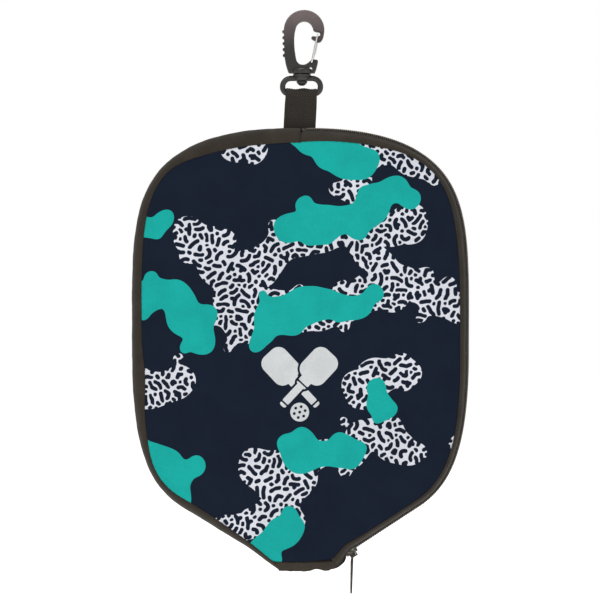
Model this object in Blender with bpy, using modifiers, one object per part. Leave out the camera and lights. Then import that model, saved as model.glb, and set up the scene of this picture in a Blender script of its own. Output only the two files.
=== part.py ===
"""Zip-edged padded sleeve for a court paddle, with a webbing loop, a ring and a swivelling snap hook.

Z is up and the printed front faces -Y. The zip runs down the +X side, the -X side is closed.
The origin is the middle of the flat part of the back panel's outer face.
Working values are in millimetres and become metres as the meshes are made.
"""

import math
from collections import namedtuple

import bmesh
import bpy
from mathutils import Matrix, Vector

MM = 0.001
MERGE_DIST = 0.01 * MM
GAP = 0.3  # clearance between neighbouring pieces

# ---- sleeve outline, points as (x, z) -------------------------------------
TOP_Z = 150.8  # crown of the outline
MOUTH_Z = -149.4
# Shared by both sides, x mirrored on the closed side
SHOULDER = (76.3, 137.6)  # where the crown turns into the shoulder
SHOULDER_SLOPE = 28.2  # degrees below level there
SIDE = (114.6, -1.6)  # widest point
HIP = (80.3, -106.8)  # lower side meets the straight run to the neck
# Where the straight run ends, and the corner of the mouth
ZIP_NECK, ZIP_MOUTH = (30.5, -139.3), (21.5, MOUTH_Z)
CLOSED_NECK, CLOSED_MOUTH = (-34.0, -135.2), (-15.0, MOUTH_Z)
# Bezier handle lengths, into and out of each point
CROWN_OUT, SHOULDER_IN, SHOULDER_OUT = 2.0, 33.4, 47.7
SIDE_IN, SIDE_OUT, HIP_IN = 74.7, 66.5, 26.1
NECK_TRIM = 0.8  # the neck corner is replaced by points this far either side
RUN_STEPS, NECK_STEPS = 30, 8

# Stations along the outline
MAX_STEP = 28.0
MAX_TURN = 9.5  # degrees

# ---- sleeve section -------------------------------------------------------
HALF_THICK = 12.5  # middle plane to the flat of each panel
EDGE_HALF = 10.0  # middle plane to the panel at its seam
CROWN_BAND_W = 9.2
# Edge band seen from the front: (distance left to the mouth, width)
ZIP_BAND = (
    (0, 4.0), (14, 5.3), (30, 5.5), (124, 5.9),
    (189, 6.7), (274, 7.8), (354, 9.0), (430, CROWN_BAND_W),
)
CLOSED_BAND = (
    (0, 4.0), (26, 3.6), (68, 5.2), (110, 3.6), (180, 7.6),
    (205, 6.2), (310, 4.5), (363, 8.8), (430, CROWN_BAND_W),
)
BAND_T = 2.4
BAND_THIN_BELOW = 6.5  # bands narrower than this get a thinner wall
RAMP, RAMP_MOUTH = 26.0, 12.0  # seam to the flat of the panel
RAMP_GROWTH = 50.0  # height above the mouth over which the ramp widens
# Panel layers from the outside in: (name, material, thickness)
LAYERS = (("knit", "printed_knit", 0.6), ("foam", "foam", 1.8), ("lining", "lining", 0.6))
RINGS = (0.0, 6.0, 13.0, 21.0, 34.0)  # distances in from the seam
FACE_END_Z = -143.1  # printed face stops here, above the mouth binding
FACE_MOUTH_STEPS = 5

# Mouth binding: (z, x at the closed side, x at the zip side, drop below the panel face)
BINDING_ROWS = (
    (-143.45, -13.4, 18.9, 0.0),
    (-146.4, -11.3, 17.3, 0.0),
    (MOUTH_Z, -11.3, 17.3, 0.1),
)
BINDING_T = 3.9
BINDING_STEPS = 10

# ---- fold of the front flap -----------------------------------------------
FOLD_TOP = (0.8, 150.6)
FOLD_LOW = (-17.0, FACE_END_Z)
FOLD_FRONT = 0.3  # axis stands this far in front of the panel

# ---- zip ------------------------------------------------------------------
ZIP_START = 1.4  # distance along the outline from the crown
ZIP_HALF = 4.6  # middle plane to the band's folded edge
COIL_START = 4.4
COIL_T, COIL_IN, COIL_OUT = 1.6, 0.15, 2.7
COIL_CORNER = 0.5  # depth of the coil's sloped corners
COIL_CREST = 0.6  # half width of the coil's outer face
TAPE_D0, TAPE_D1, TAPE_IN, TAPE_OUT = 1.9, 2.4, 1.2, 4.3
STOP_OUT, STOP_L = 2.9, 2.0  # metal stops, half width and length
START_STOP_AT = 2.0
END_STOP_IN, END_STOP_DEPTH, END_STOP_AFTER = 1.0, 0.5, 1.2
SLIDER_X = 34.5  # slider centre along the straight run
SLIDER_L, SLIDER_W, SLIDER_WALL = 8.2, 7.6, 0.7
PULL_L, PULL_HALF_W, PULL_HALF_T = 24.0, 2.9, 0.5
PULL_PIN = (-0.7, 0, 2.7)  # pull's pivot in the slider's own frame

# ---- hanging hardware -----------------------------------------------------
MID_Y = -HALF_THICK
HANG = MID_Y + 6.2  # Y of the webbing and hook, behind the middle plane
STRAP_X, STRAP_HALF, STRAP_T = 1.0, 10.4, 1.5
STRAP_HALF_Y = STRAP_T + 0.05  # half the thickness where two plies lie together
STRAP_BASE_Z, STRAP_BASE_GAP = 152.7, 0.2
STRAP_TAIL_Z = 143.5
PINCH_OUT, PINCH_IN, PINCH_HALF = 10.0, 8.5, 0.15  # loop closes this far below the bar
SLOT_HALF_Y = STRAP_HALF_Y + GAP + 0.05
SLOT_BELOW, SLOT_ABOVE = 12, 5  # slot's reach either side of the crown
BAR_Z, BAR_R = 174.7, 1.9
RING_HALF, RING_TOP_Z = 12.75, 185.3
RING_LOW_CORNER, RING_TOP_CORNER = 3.2, 4.8
COLLAR_R, COLLAR_Z0, COLLAR_Z1 = 6.0, 183.4, 188.0
BORE_Z0, BORE_Z1 = 176.0, 196.0
SWIVEL_X = 1.0
STEM_R = 2.1
# Turned parts under the hook: (radius, low z, high z)
HOOK_FOOT = (5.9, 188.35, 191.6)
HOOK_STEM = (STEM_R, 182.6, 189.0)
HOOK_HEAD = (3.75, 180.4, 183.1)
HOOK_HALF = 2.6
WIRE_R = 0.6
PIVOT = (7.6, 195.7)
CROSSBAR = (11.55, 214.95)
PIN_HOLE_L = 3.2
GATE_SIDE = HOOK_HALF + 0.35 + WIRE_R  # hook's middle to a gate leg's centre

# Flat outlines: local x and y go to world (y, z) or (x, z)
TO_YZ = Matrix(((0, 0, 1, 0), (1, 0, 0, 0), (0, 1, 0, 0), (0, 0, 0, 1)))
TO_XZ = Matrix(((1, 0, 0, 0), (0, 0, -1, 0), (0, 1, 0, 0), (0, 0, 0, 1)))


# ---- scene and materials --------------------------------------------------
for old_object in list(bpy.data.objects):
    bpy.data.objects.remove(old_object, do_unlink=True)
for old_collection in list(bpy.data.collections):
    bpy.data.collections.remove(old_collection)

PARTS = bpy.data.collections.new("paddle_case")
bpy.context.scene.collection.children.link(PARTS)


def material(name, rgb, roughness, metallic=0.0):
    mat = bpy.data.materials.new(name)
    mat.use_nodes = True
    inputs = mat.node_tree.nodes["Principled BSDF"].inputs
    inputs["Base Color"].default_value = (*rgb, 1)
    inputs["Roughness"].default_value = roughness
    inputs["Metallic"].default_value = metallic
    mat.diffuse_color = (*rgb, 1)
    return name, mat


MATERIALS = dict((
    material("printed_knit", rgb=(0.014, 0.09, 0.11), roughness=0.85),
    material("foam", rgb=(0.03, 0.03, 0.03), roughness=0.95),
    material("lining", rgb=(0.02, 0.02, 0.022), roughness=0.9),
    material("edge_band", rgb=(0.035, 0.03, 0.024), roughness=0.85),
    material("zip_tape", rgb=(0.025, 0.023, 0.02), roughness=0.85),
    material("zip_coil", rgb=(0.02, 0.018, 0.016), roughness=0.45),
    material("zip_metal", rgb=(0.03, 0.03, 0.03), roughness=0.35, metallic=1.0),
    material("webbing", rgb=(0.022, 0.02, 0.018), roughness=0.85),
    material("hook_plastic", rgb=(0.02, 0.019, 0.018), roughness=0.35),
    material("gate_wire", rgb=(0.6, 0.6, 0.6), roughness=0.25, metallic=1.0),
))


# ---- mesh helpers ---------------------------------------------------------
def finish(bm, name, mat):
    """Turns a bmesh into a linked object. Cutters have no material."""
    bmesh.ops.remove_doubles(bm, verts=bm.verts, dist=MERGE_DIST)
    bmesh.ops.recalc_face_normals(bm, faces=bm.faces)
    mesh = bpy.data.meshes.new(name)
    bm.to_mesh(mesh)
    bm.free()
    ob = bpy.data.objects.new(name, mesh)
    PARTS.objects.link(ob)
    if mat:
        mesh.materials.append(MATERIALS[mat])
    return ob


def join_loops(bm, first, second):
    """Quads between two matching closed loops of vertices."""
    for i in range(len(first)):
        j = (i + 1) % len(first)
        bm.faces.new((first[i], first[j], second[j], second[i]))


def loft(name, mat, rows):
    """Capped solid through matching closed sections, each a list of (x, y, z)."""
    bm = bmesh.new()
    loops = [[bm.verts.new([c * MM for c in point]) for point in row] for row in rows]
    for first, second in zip(loops, loops[1:]):
        join_loops(bm, first, second)
    bm.faces.new(loops[0][::-1])
    bm.faces.new(loops[-1])
    return finish(bm, name, mat)


def box(name, mat, x0, x1, y0, y1, z0, z1):
    bm = bmesh.new()
    verts = [
        bm.verts.new((x * MM, y * MM, z * MM))
        for x in (x0, x1)
        for y in (y0, y1)
        for z in (z0, z1)
    ]
    for face in (
        (0, 1, 3, 2), (4, 6, 7, 5), (0, 4, 5, 1),
        (2, 3, 7, 6), (0, 2, 6, 4), (1, 5, 7, 3),
    ):
        bm.faces.new([verts[i] for i in face])
    return finish(bm, name, mat)


def cylinder(radius, length, centre, along_y=False, segments=24):
    """Cylinder for use in a boolean, along Z unless turned along Y."""
    bm = bmesh.new()
    bmesh.ops.create_cone(
        bm,
        cap_ends=True,
        segments=segments,
        radius1=radius * MM,
        radius2=radius * MM,
        depth=length * MM,
    )
    if along_y:
        bmesh.ops.rotate(bm, verts=bm.verts, matrix=Matrix.Rotation(math.pi / 2, 3, "X"))
    bmesh.ops.translate(bm, verts=bm.verts, vec=[c * MM for c in centre])
    return finish(bm, "cylinder", None)


def swivel_cylinder(radius, z0, z1):
    """Cylinder on the swivel axis between two heights."""
    return cylinder(radius, z1 - z0, (SWIVEL_X, HANG, (z0 + z1) / 2))


def evaluated_mesh(ob):
    bpy.context.view_layer.update()
    depsgraph = bpy.context.evaluated_depsgraph_get()
    return bpy.data.meshes.new_from_object(ob.evaluated_get(depsgraph))


def apply_modifiers(ob):
    mesh = evaluated_mesh(ob)
    ob.modifiers.clear()
    old = ob.data
    ob.data = mesh
    bpy.data.meshes.remove(old)
    mesh.name = ob.name


def boolean(ob, other, operation):
    """Applies a boolean with another object, which is used up."""
    mod = ob.modifiers.new("cut", "BOOLEAN")
    mod.solver = "EXACT"
    mod.operation = operation
    mod.object = other
    apply_modifiers(ob)
    bpy.data.objects.remove(other, do_unlink=True)


def bevel(ob, width, angle):
    """Single chamfer on edges sharper than an angle in degrees."""
    mod = ob.modifiers.new("edge", "BEVEL")
    mod.width = width * MM
    mod.segments = 1
    mod.limit_method = "ANGLE"
    mod.angle_limit = math.radians(angle)
    mod.use_clamp_overlap = True
    apply_modifiers(ob)


def add_polyline(curve, points, cyclic):
    spline = curve.splines.new("POLY")
    spline.points.add(len(points) - 1)
    for target, (x, y, z) in zip(spline.points, points):
        target.co = (x * MM, y * MM, z * MM, 1)
    spline.use_cyclic_u = cyclic


def curve_to_mesh(name, mat, curve):
    """Turns a curve into a closed mesh object and drops the curve."""
    ob = bpy.data.objects.new(name + "_path", curve)
    PARTS.objects.link(ob)
    mesh = evaluated_mesh(ob)
    bm = bmesh.new()
    bm.from_mesh(mesh)
    bpy.data.meshes.remove(mesh)
    bpy.data.objects.remove(ob, do_unlink=True)
    bpy.data.curves.remove(curve)
    return finish(bm, name, mat)


def wire(name, mat, points, radius, cyclic, resolution):
    """Round wire along a list of (x, y, z)."""
    curve = bpy.data.curves.new(name, "CURVE")
    curve.dimensions = "3D"
    add_polyline(curve, points, cyclic)
    curve.bevel_depth = radius * MM
    curve.bevel_resolution = resolution
    curve.use_fill_caps = not cyclic
    return curve_to_mesh(name, mat, curve)


def outline_solid(name, mat, loops, half, to_world):
    """A flat outline with holes, extruded both ways by half, then turned into place."""
    curve = bpy.data.curves.new(name, "CURVE")
    curve.dimensions = "2D"
    curve.fill_mode = "BOTH"
    curve.extrude = half * MM
    for loop in loops:
        add_polyline(curve, [(x, y, 0) for x, y in loop], True)
    ob = curve_to_mesh(name, mat, curve)
    ob.data.transform(to_world)
    return ob


def arc(centre, radius, start, end, steps):
    """Points on a circle between two angles in degrees, both ends included."""
    angles = [math.radians(start + (end - start) * k / steps) for k in range(steps + 1)]
    return [
        (centre[0] + radius * math.cos(a), centre[1] + radius * math.sin(a)) for a in angles
    ]


def rounded(points, radii, steps):
    """A closed outline with each corner rounded by its own radius."""
    out = []
    for i, radius in enumerate(radii):
        corner = Vector(points[i])
        if radius <= 0:
            out.append(tuple(corner))
            continue
        to_last = (Vector(points[i - 1]) - corner).normalized()
        to_next = (Vector(points[(i + 1) % len(points)]) - corner).normalized()
        half = to_last.angle(to_next) / 2
        cut = radius / math.tan(half)
        centre = corner + (to_next + to_last).normalized() * (radius / math.sin(half))
        start = corner + to_last * cut - centre
        end = corner + to_next * cut - centre
        turn = start.angle(end)
        for k in range(steps + 1):
            f = k / steps
            spoke = start * math.sin((1 - f) * turn) + end * math.sin(f * turn)
            out.append(tuple(centre + spoke / math.sin(turn)))
    return out


def rectangle(x0, x1, y0, y1):
    return [(x0, y0), (x0, y1), (x1, y1), (x1, y0)]


# ---- outline --------------------------------------------------------------
def bezier(start, start_dir, start_handle, end, end_dir, end_handle, count):
    """Points along a cubic, without its last one."""
    start, end = Vector(start), Vector(end)
    a = start + Vector(start_dir) * start_handle
    b = end - Vector(end_dir) * end_handle
    return [
        (1 - s) ** 3 * start + 3 * (1 - s) ** 2 * s * a + 3 * (1 - s) * s * s * b + s**3 * end
        for s in (i / count for i in range(count))
    ]


def side_curve(sign, neck, mouth):
    """Fine points from the crown down one side to the mouth, as (x, z)."""
    neck, mouth = Vector(neck), Vector(mouth)
    hip = Vector((sign * HIP[0], HIP[1]))
    run_dir = (neck - hip).normalized()
    slope = math.radians(SHOULDER_SLOPE)
    shoulder = (sign * SHOULDER[0], SHOULDER[1])
    shoulder_dir = (sign * math.cos(slope), -math.sin(slope))
    side = (sign * SIDE[0], SIDE[1])
    down = (0, -1)
    points = bezier(
        (0, TOP_Z), (sign, 0), CROWN_OUT, shoulder, shoulder_dir, SHOULDER_IN, 60
    )
    points += bezier(shoulder, shoulder_dir, SHOULDER_OUT, side, down, SIDE_IN, 120)
    points += bezier(side, down, SIDE_OUT, hip, run_dir, HIP_IN, 90)
    run_steps = (*range(RUN_STEPS - 1), RUN_STEPS - NECK_TRIM)
    points += [hip.lerp(neck, i / RUN_STEPS) for i in run_steps]
    points.append(neck + (mouth - neck).normalized() * NECK_TRIM)
    points += [neck.lerp(mouth, i / NECK_STEPS) for i in range(1, NECK_STEPS + 1)]
    return points


def band_width(sign, left):
    """Width of the edge band a given distance before the mouth."""
    table = ZIP_BAND if sign > 0 else CLOSED_BAND
    for (left0, width0), (left1, width1) in zip(table, table[1:]):
        if left <= left1:
            return width0 + (width1 - width0) * (left - left0) / (left1 - left0)
    return table[-1][1]


# Outline point, its inward normal, the band's width and the distance from the crown
Station = namedtuple("Station", "point inward width run")


def stations(sign, fine):
    """Picks stations so that no step is too long or turns too far."""
    run = [0.0]
    cost = [0.0]
    for i in range(1, len(fine)):
        ahead = fine[i] - fine[i - 1]
        turn = 0.0
        if i + 1 < len(fine):
            turn = abs((fine[i + 1] - fine[i]).angle_signed(ahead, 0.0))
        run.append(run[-1] + ahead.length)
        cost.append(cost[-1] + ahead.length / MAX_STEP + math.degrees(turn) / MAX_TURN)
    count = int(math.ceil(cost[-1]))
    picks = []
    for k in range(count + 1):
        want = cost[-1] * k / count
        i = min(range(len(cost)), key=lambda j: abs(cost[j] - want))
        if i not in picks:
            picks.append(i)
    out = []
    for i in picks:
        if i == 0:
            tangent = Vector((sign, 0))
        else:
            tangent = (fine[min(len(fine) - 1, i + 1)] - fine[i - 1]).normalized()
        inward = Vector((sign * tangent.y, -sign * tangent.x))
        out.append(Station(fine[i], inward, band_width(sign, run[-1] - run[i]), run[i]))
    return out


def widths_along(sign, fine):
    """Band width at each fine point of a side."""
    left = [0.0]
    for a, b in zip(fine[::-1], fine[-2::-1]):
        left.append(left[-1] + (a - b).length)
    return [band_width(sign, distance) for distance in left[::-1]]


FINE_ZIP = side_curve(1, ZIP_NECK, ZIP_MOUTH)
FINE_CLOSED = side_curve(-1, CLOSED_NECK, CLOSED_MOUTH)
ZIP_SIDE = stations(1, FINE_ZIP)
CLOSED_SIDE = stations(-1, FINE_CLOSED)
ZIP_RUN, CLOSED_RUN = ZIP_SIDE[-1].run, CLOSED_SIDE[-1].run
FINE_WIDTHS = (
    (FINE_ZIP, widths_along(1, FINE_ZIP)),
    (FINE_CLOSED, widths_along(-1, FINE_CLOSED)),
)


def ease(s):
    s = max(0.0, min(1.0, s))
    return s * s * (3 - 2 * s)


def panel_height(x, z):
    """Height of a panel's outer face above the middle plane."""
    here = Vector((x, z))
    nearest = 1e9
    for fine, widths in FINE_WIDTHS:
        for a, b, width_here in zip(fine, fine[1:], widths):
            ab = b - a
            s = max(0.0, min(1.0, (here - a).dot(ab) / max(ab.length_squared, 1e-9)))
            distance = (here - a - ab * s).length
            if distance < nearest:
                nearest = distance
                width = width_here
    ramp = RAMP_MOUTH + (RAMP - RAMP_MOUTH) * ease((z - MOUTH_Z) / RAMP_GROWTH)
    return EDGE_HALF + (HALF_THICK - EDGE_HALF) * ease((nearest - width - GAP) / ramp)


def between(path, run0, run1):
    """Stations of a side between two distances along it, with the ends placed exactly."""

    def at(run):
        a, b = next(
            (a, b) for a, b in zip(path, path[1:]) if a.run <= run <= b.run + 1e-6
        )
        s = (run - a.run) / max(b.run - a.run, 1e-9)
        inward = a.inward.lerp(b.inward, s).normalized()
        return Station(a.point.lerp(b.point, s), inward, a.width + (b.width - a.width) * s, run)

    inside = [st for st in path if run0 + 1.0 < st.run < run1 - 1.0]
    return [at(run0), *inside, at(run1)]


def edge_sweep(name, mat, path, section):
    """Sweeps a section along the outline.

    section(width) gives (distance in from the outline, height off the middle plane).
    """
    rows = []
    for st in path:
        row = []
        for inset, y in section(st.width):
            q = st.point + st.inward * inset
            row.append((q.x, MID_Y + y, q.y))
        rows.append(row)
    return loft(name, mat, rows)


# ---- padded panels --------------------------------------------------------
def face_outline():
    """Seam line of the faces, as a closed loop of (x, z)."""

    def seam(side):
        points = []
        for st in side:
            q = st.point + st.inward * (st.width + GAP)
            if points and q.y < FACE_END_Z:
                a = points[-1]
                points.append(a.lerp(q, (a.y - FACE_END_Z) / (a.y - q.y)))
                break
            points.append(q)
        return points

    right, left = seam(ZIP_SIDE), seam(CLOSED_SIDE)
    mouth = [
        right[-1].lerp(left[-1], k / FACE_MOUTH_STEPS) for k in range(1, FACE_MOUTH_STEPS)
    ]
    return right + mouth + left[:0:-1]


def inset_point(point, distance):
    """Moves a seam point towards the panel's centre line."""
    target = Vector((1.0, max(-90.0, min(60.0, point.y * 0.55))))
    return point + (target - point).normalized() * distance


OUTLINE = face_outline()
GRID = [[inset_point(point, distance) for point in OUTLINE] for distance in RINGS]
HEIGHTS = [[panel_height(q.x, q.y) for q in ring] for ring in GRID[:-1]]
HEIGHTS.append([HALF_THICK] * len(OUTLINE))  # the last ring bounds the flat


def panel_layer(depth0, depth1, sign):
    """Closed layer between two depths below the outer face; sign -1 is front, 1 is back."""
    bm = bmesh.new()
    sheets = []
    for depth in (depth0, depth1):
        rings = [
            [
                bm.verts.new((q.x * MM, (MID_Y + sign * (h - depth)) * MM, q.y * MM))
                for q, h in zip(ring, heights)
            ]
            for ring, heights in zip(GRID, HEIGHTS)
        ]
        for first, second in zip(rings, rings[1:]):
            join_loops(bm, first, second)
        bm.faces.new(rings[-1])
        sheets.append(rings)
    join_loops(bm, sheets[0][0], sheets[1][0])
    bmesh.ops.recalc_face_normals(bm, faces=bm.faces)
    return bm


def keep_one_side(bm, side):
    """Keeps the flap (side 1) or the fixed part (side -1), less half the gap at the fold."""
    top = Vector((FOLD_TOP[0], 0, FOLD_TOP[1]))
    fold_dir = (top - Vector((FOLD_LOW[0], 0, FOLD_LOW[1]))).normalized()
    to_flap = Vector((fold_dir.z, 0, -fold_dir.x))
    cut = bmesh.ops.bisect_plane(
        bm,
        geom=bm.verts[:] + bm.edges[:] + bm.faces[:],
        dist=1e-7,
        plane_co=(top + to_flap * (side * GAP / 2)) * MM,
        plane_no=to_flap * side,
        clear_inner=True,
        clear_outer=False,
    )
    edges = [e for e in cut["geom_cut"] if isinstance(e, bmesh.types.BMEdge)]
    bmesh.ops.holes_fill(bm, edges=edges, sides=0)
    return bm


def build_panels():
    depth = 0.0
    for layer, mat, thickness in LAYERS:
        inner = depth + thickness
        finish(panel_layer(depth, inner, 1), "back_" + layer, mat)
        for part, side in (("fixed", -1), ("flap", 1)):
            bm = keep_one_side(panel_layer(depth, inner, -1), side)
            finish(bm, f"front_{part}_{layer}", mat)
        depth = inner + GAP


# ---- edge bands and bindings ----------------------------------------------
def band_section(low, high, steps):
    """Wall of the rolled edge between two heights: outer curve, then inner curve back."""

    def ellipse(width, reach, height):
        """Quarter-turn limits apply where a height lies beyond the ellipse."""
        a = math.asin(max(-1.0, min(1.0, low / height)))
        b = math.asin(max(-1.0, min(1.0, high / height)))
        turns = [a + (b - a) * k / steps for k in range(steps + 1)]
        return [(width - reach * math.cos(t), height * math.sin(t)) for t in turns]

    def section(width):
        inner_reach = width - BAND_T * min(1.0, width / BAND_THIN_BELOW)
        outer = ellipse(width, width, EDGE_HALF)
        inner = ellipse(width, inner_reach, EDGE_HALF - BAND_T)
        return outer + inner[::-1]

    return section


def build_bands():
    closed = edge_sweep(
        "band_closed_side",
        "edge_band",
        between(CLOSED_SIDE, 0.0, CLOSED_RUN),
        band_section(-EDGE_HALF, EDGE_HALF, 8),
    )
    zip_path = between(ZIP_SIDE, ZIP_START, ZIP_RUN)
    edge_sweep(
        "band_zip_front", "edge_band", zip_path, band_section(-EDGE_HALF, -ZIP_HALF, 4)
    )
    zip_back = edge_sweep(
        "band_zip_back", "edge_band", zip_path, band_section(ZIP_HALF, EDGE_HALF, 4)
    )
    # The webbing's tail leaves the edge band through a slot behind the zip.
    slot_half_x = STRAP_HALF + GAP
    for band in (closed, zip_back):
        slot = box(
            "slot", None,
            STRAP_X - slot_half_x, STRAP_X + slot_half_x,
            HANG - SLOT_HALF_Y, HANG + SLOT_HALF_Y,
            TOP_Z - SLOT_BELOW, TOP_Z + SLOT_ABOVE,
        )
        boolean(band, slot, "DIFFERENCE")


def mouth_binding(name, sign):
    """Folded binding over the lower edge of a panel, following the panel's curve."""
    rows = []
    for k in range(BINDING_STEPS + 1):
        outer, inner = [], []
        for z, left, right, drop in BINDING_ROWS:
            x = left + (right - left) * k / BINDING_STEPS
            height = panel_height(x, z)
            outer.append((x, MID_Y + sign * (height - drop), z))
            inner.append((x, MID_Y + sign * (height - BINDING_T), z))
        rows.append(outer + inner[::-1])
    loft(name, "edge_band", rows)


# ---- zip ------------------------------------------------------------------
SLIDER_POINT = Vector(ZIP_NECK).lerp(
    Vector(HIP), (SLIDER_X - ZIP_NECK[0]) / (HIP[0] - ZIP_NECK[0])
)


def slider_run():
    """Distance from the crown to the slider's centre."""
    run = 0.0
    for a, b in zip(FINE_ZIP, FINE_ZIP[1:]):
        if b.y <= SLIDER_POINT.y:
            return run + (SLIDER_POINT - a).length
        run += (b - a).length


def slider_frame():
    """Slider's own frame: X up the straight run, Y to the front, Z out of the sleeve."""
    down = (Vector(ZIP_NECK) - Vector(HIP)).normalized()
    return Matrix((
        (-down.x, 0, -down.y, SLIDER_POINT.x * MM),
        (0, -1, 0, MID_Y * MM),
        (-down.y, 0, down.x, SLIDER_POINT.y * MM),
        (0, 0, 0, 1),
    ))


SLIDER_FRAME = slider_frame()
PULL_AT = SLIDER_FRAME @ (Vector(PULL_PIN) * MM)  # metres


def build_zip_rows():
    """Tapes, coils and stops along the zip side."""
    slider_at = slider_run()
    end_stop_at = slider_at + SLIDER_L / 2 + END_STOP_AFTER
    crest = (COIL_IN + COIL_OUT) / 2
    coil = [
        (COIL_T, COIL_IN),
        (COIL_CORNER, COIL_IN),
        (0.0, crest - COIL_CREST),
        (0.0, crest + COIL_CREST),
        (COIL_CORNER, COIL_OUT),
        (COIL_T, COIL_OUT),
    ]
    # (name, material, start, end, section), made once for each half of the zip
    rows = (
        ("zip_tape_", "zip_tape", ZIP_START, ZIP_RUN - 1.0,
         rectangle(TAPE_D0, TAPE_D1, TAPE_IN, TAPE_OUT)),
        ("zip_coil_", "zip_coil", COIL_START, slider_at + 0.8, coil),
        ("zip_end_stop_", "zip_metal", end_stop_at, end_stop_at + STOP_L,
         rectangle(END_STOP_DEPTH, COIL_T, END_STOP_IN, STOP_OUT)),
    )
    for name, mat, start, end, half in rows:
        for side, sign in (("front", -1), ("back", 1)):
            section = [(inset, sign * y) for inset, y in half]
            path = between(ZIP_SIDE, start, end)
            edge_sweep(name + side, mat, path, lambda width: section)
    edge_sweep(
        "zip_start_stop",
        "zip_metal",
        between(ZIP_SIDE, START_STOP_AT, START_STOP_AT + STOP_L),
        lambda width: rectangle(0.0, COIL_T, -STOP_OUT, STOP_OUT),
    )


def build_slider():
    half_l, half_w = SLIDER_L / 2, SLIDER_W / 2
    slider = box("zip_slider", "zip_metal", -half_l, half_l, -half_w, half_w, 0.4, 1.7)
    for limits in (
        (-half_l, half_l, -half_w, -half_w + SLIDER_WALL, -1.5, 0.6),  # side walls
        (-half_l, half_l, half_w - SLIDER_WALL, half_w, -1.5, 0.6),
        (-3.4, -1.2, -0.8, 0.8, -3.2, 0.6),  # post between the plates
        (-3.6, 3.6, -3.3, 3.3, -4.0, -2.8),  # inner plate
        (-2.6, -1.8, -0.9, 0.9, 1.5, 4.5),  # bridge legs
        (1.8, 2.6, -0.9, 0.9, 1.5, 4.5),
        (-2.6, 2.6, -0.9, 0.9, 3.7, 4.5),  # bridge top
    ):
        boolean(slider, box("bit", None, *limits), "UNION")
    bevel(slider, 0.18, angle=60)
    slider.data.transform(SLIDER_FRAME)


def build_pull():
    """Pull tab hanging from the slider's bridge, with an eye and a slot near its foot."""
    tab = rectangle(-PULL_HALF_W, PULL_HALF_W, 0.5, -PULL_L)
    tab = [tab[0], tab[3], tab[2], tab[1]]
    eye = [(-1.5, -0.5), (1.5, -0.5), (1.5, -4.2), (-1.5, -4.2)]
    slot_top, slot_low = -PULL_L + 6.5, -PULL_L + 2.2
    slot = [(-1.1, slot_top), (1.1, slot_top), (1.1, slot_low), (-1.1, slot_low)]
    outline_solid(
        "zip_pull",
        "zip_metal",
        [
            rounded(tab, [0.4, 0.4, 2.0, 2.0], 3),
            rounded(eye, [0.3] * 4, 2),
            rounded(slot, [0.9] * 4, 3),
        ],
        PULL_HALF_T,
        Matrix.Translation(PULL_AT) @ TO_YZ,
    )


# ---- webbing --------------------------------------------------------------
def build_strap():
    """Loop around the ring's bar, and the tail that goes down into the sleeve."""
    base = STRAP_BASE_Z + STRAP_BASE_GAP
    inner_r = BAR_R + GAP
    outer = [(-STRAP_HALF_Y, base), (-STRAP_HALF_Y, BAR_Z - PINCH_OUT)]
    outer += arc((0, BAR_Z), inner_r + STRAP_T, 205, -25, 10)
    outer += [(STRAP_HALF_Y, BAR_Z - PINCH_OUT), (STRAP_HALF_Y, base)]
    inner = arc((0, BAR_Z), inner_r, 205, -25, 10)
    inner += [(PINCH_HALF, BAR_Z - PINCH_IN), (-PINCH_HALF, BAR_Z - PINCH_IN)]
    place = Matrix.Translation((STRAP_X * MM, HANG * MM, 0)) @ TO_YZ
    outline_solid("strap_loop", "webbing", [outer, inner], STRAP_HALF, place)
    box(
        "strap_tail", "webbing",
        STRAP_X - STRAP_HALF, STRAP_X + STRAP_HALF,
        HANG - STRAP_HALF_Y, HANG + STRAP_HALF_Y,
        STRAP_TAIL_Z, STRAP_BASE_Z - STRAP_BASE_GAP,
    )


# ---- ring and hook --------------------------------------------------------
def build_ring():
    """Rounded rectangular ring with a bored collar on its top bar."""
    x0, x1 = SWIVEL_X - RING_HALF, SWIVEL_X + RING_HALF
    path = rounded(
        [(x0, BAR_Z), (x1, BAR_Z), (x1, RING_TOP_Z), (x0, RING_TOP_Z)],
        [RING_LOW_CORNER] * 2 + [RING_TOP_CORNER] * 2,
        4,
    )
    points = [(x, HANG, z) for x, z in path]
    ring = wire("hook_ring", "hook_plastic", points, BAR_R, cyclic=True, resolution=3)
    boolean(ring, swivel_cylinder(COLLAR_R, COLLAR_Z0, COLLAR_Z1), "UNION")
    boolean(ring, swivel_cylinder(STEM_R + GAP, BORE_Z0, BORE_Z1), "DIFFERENCE")


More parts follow.
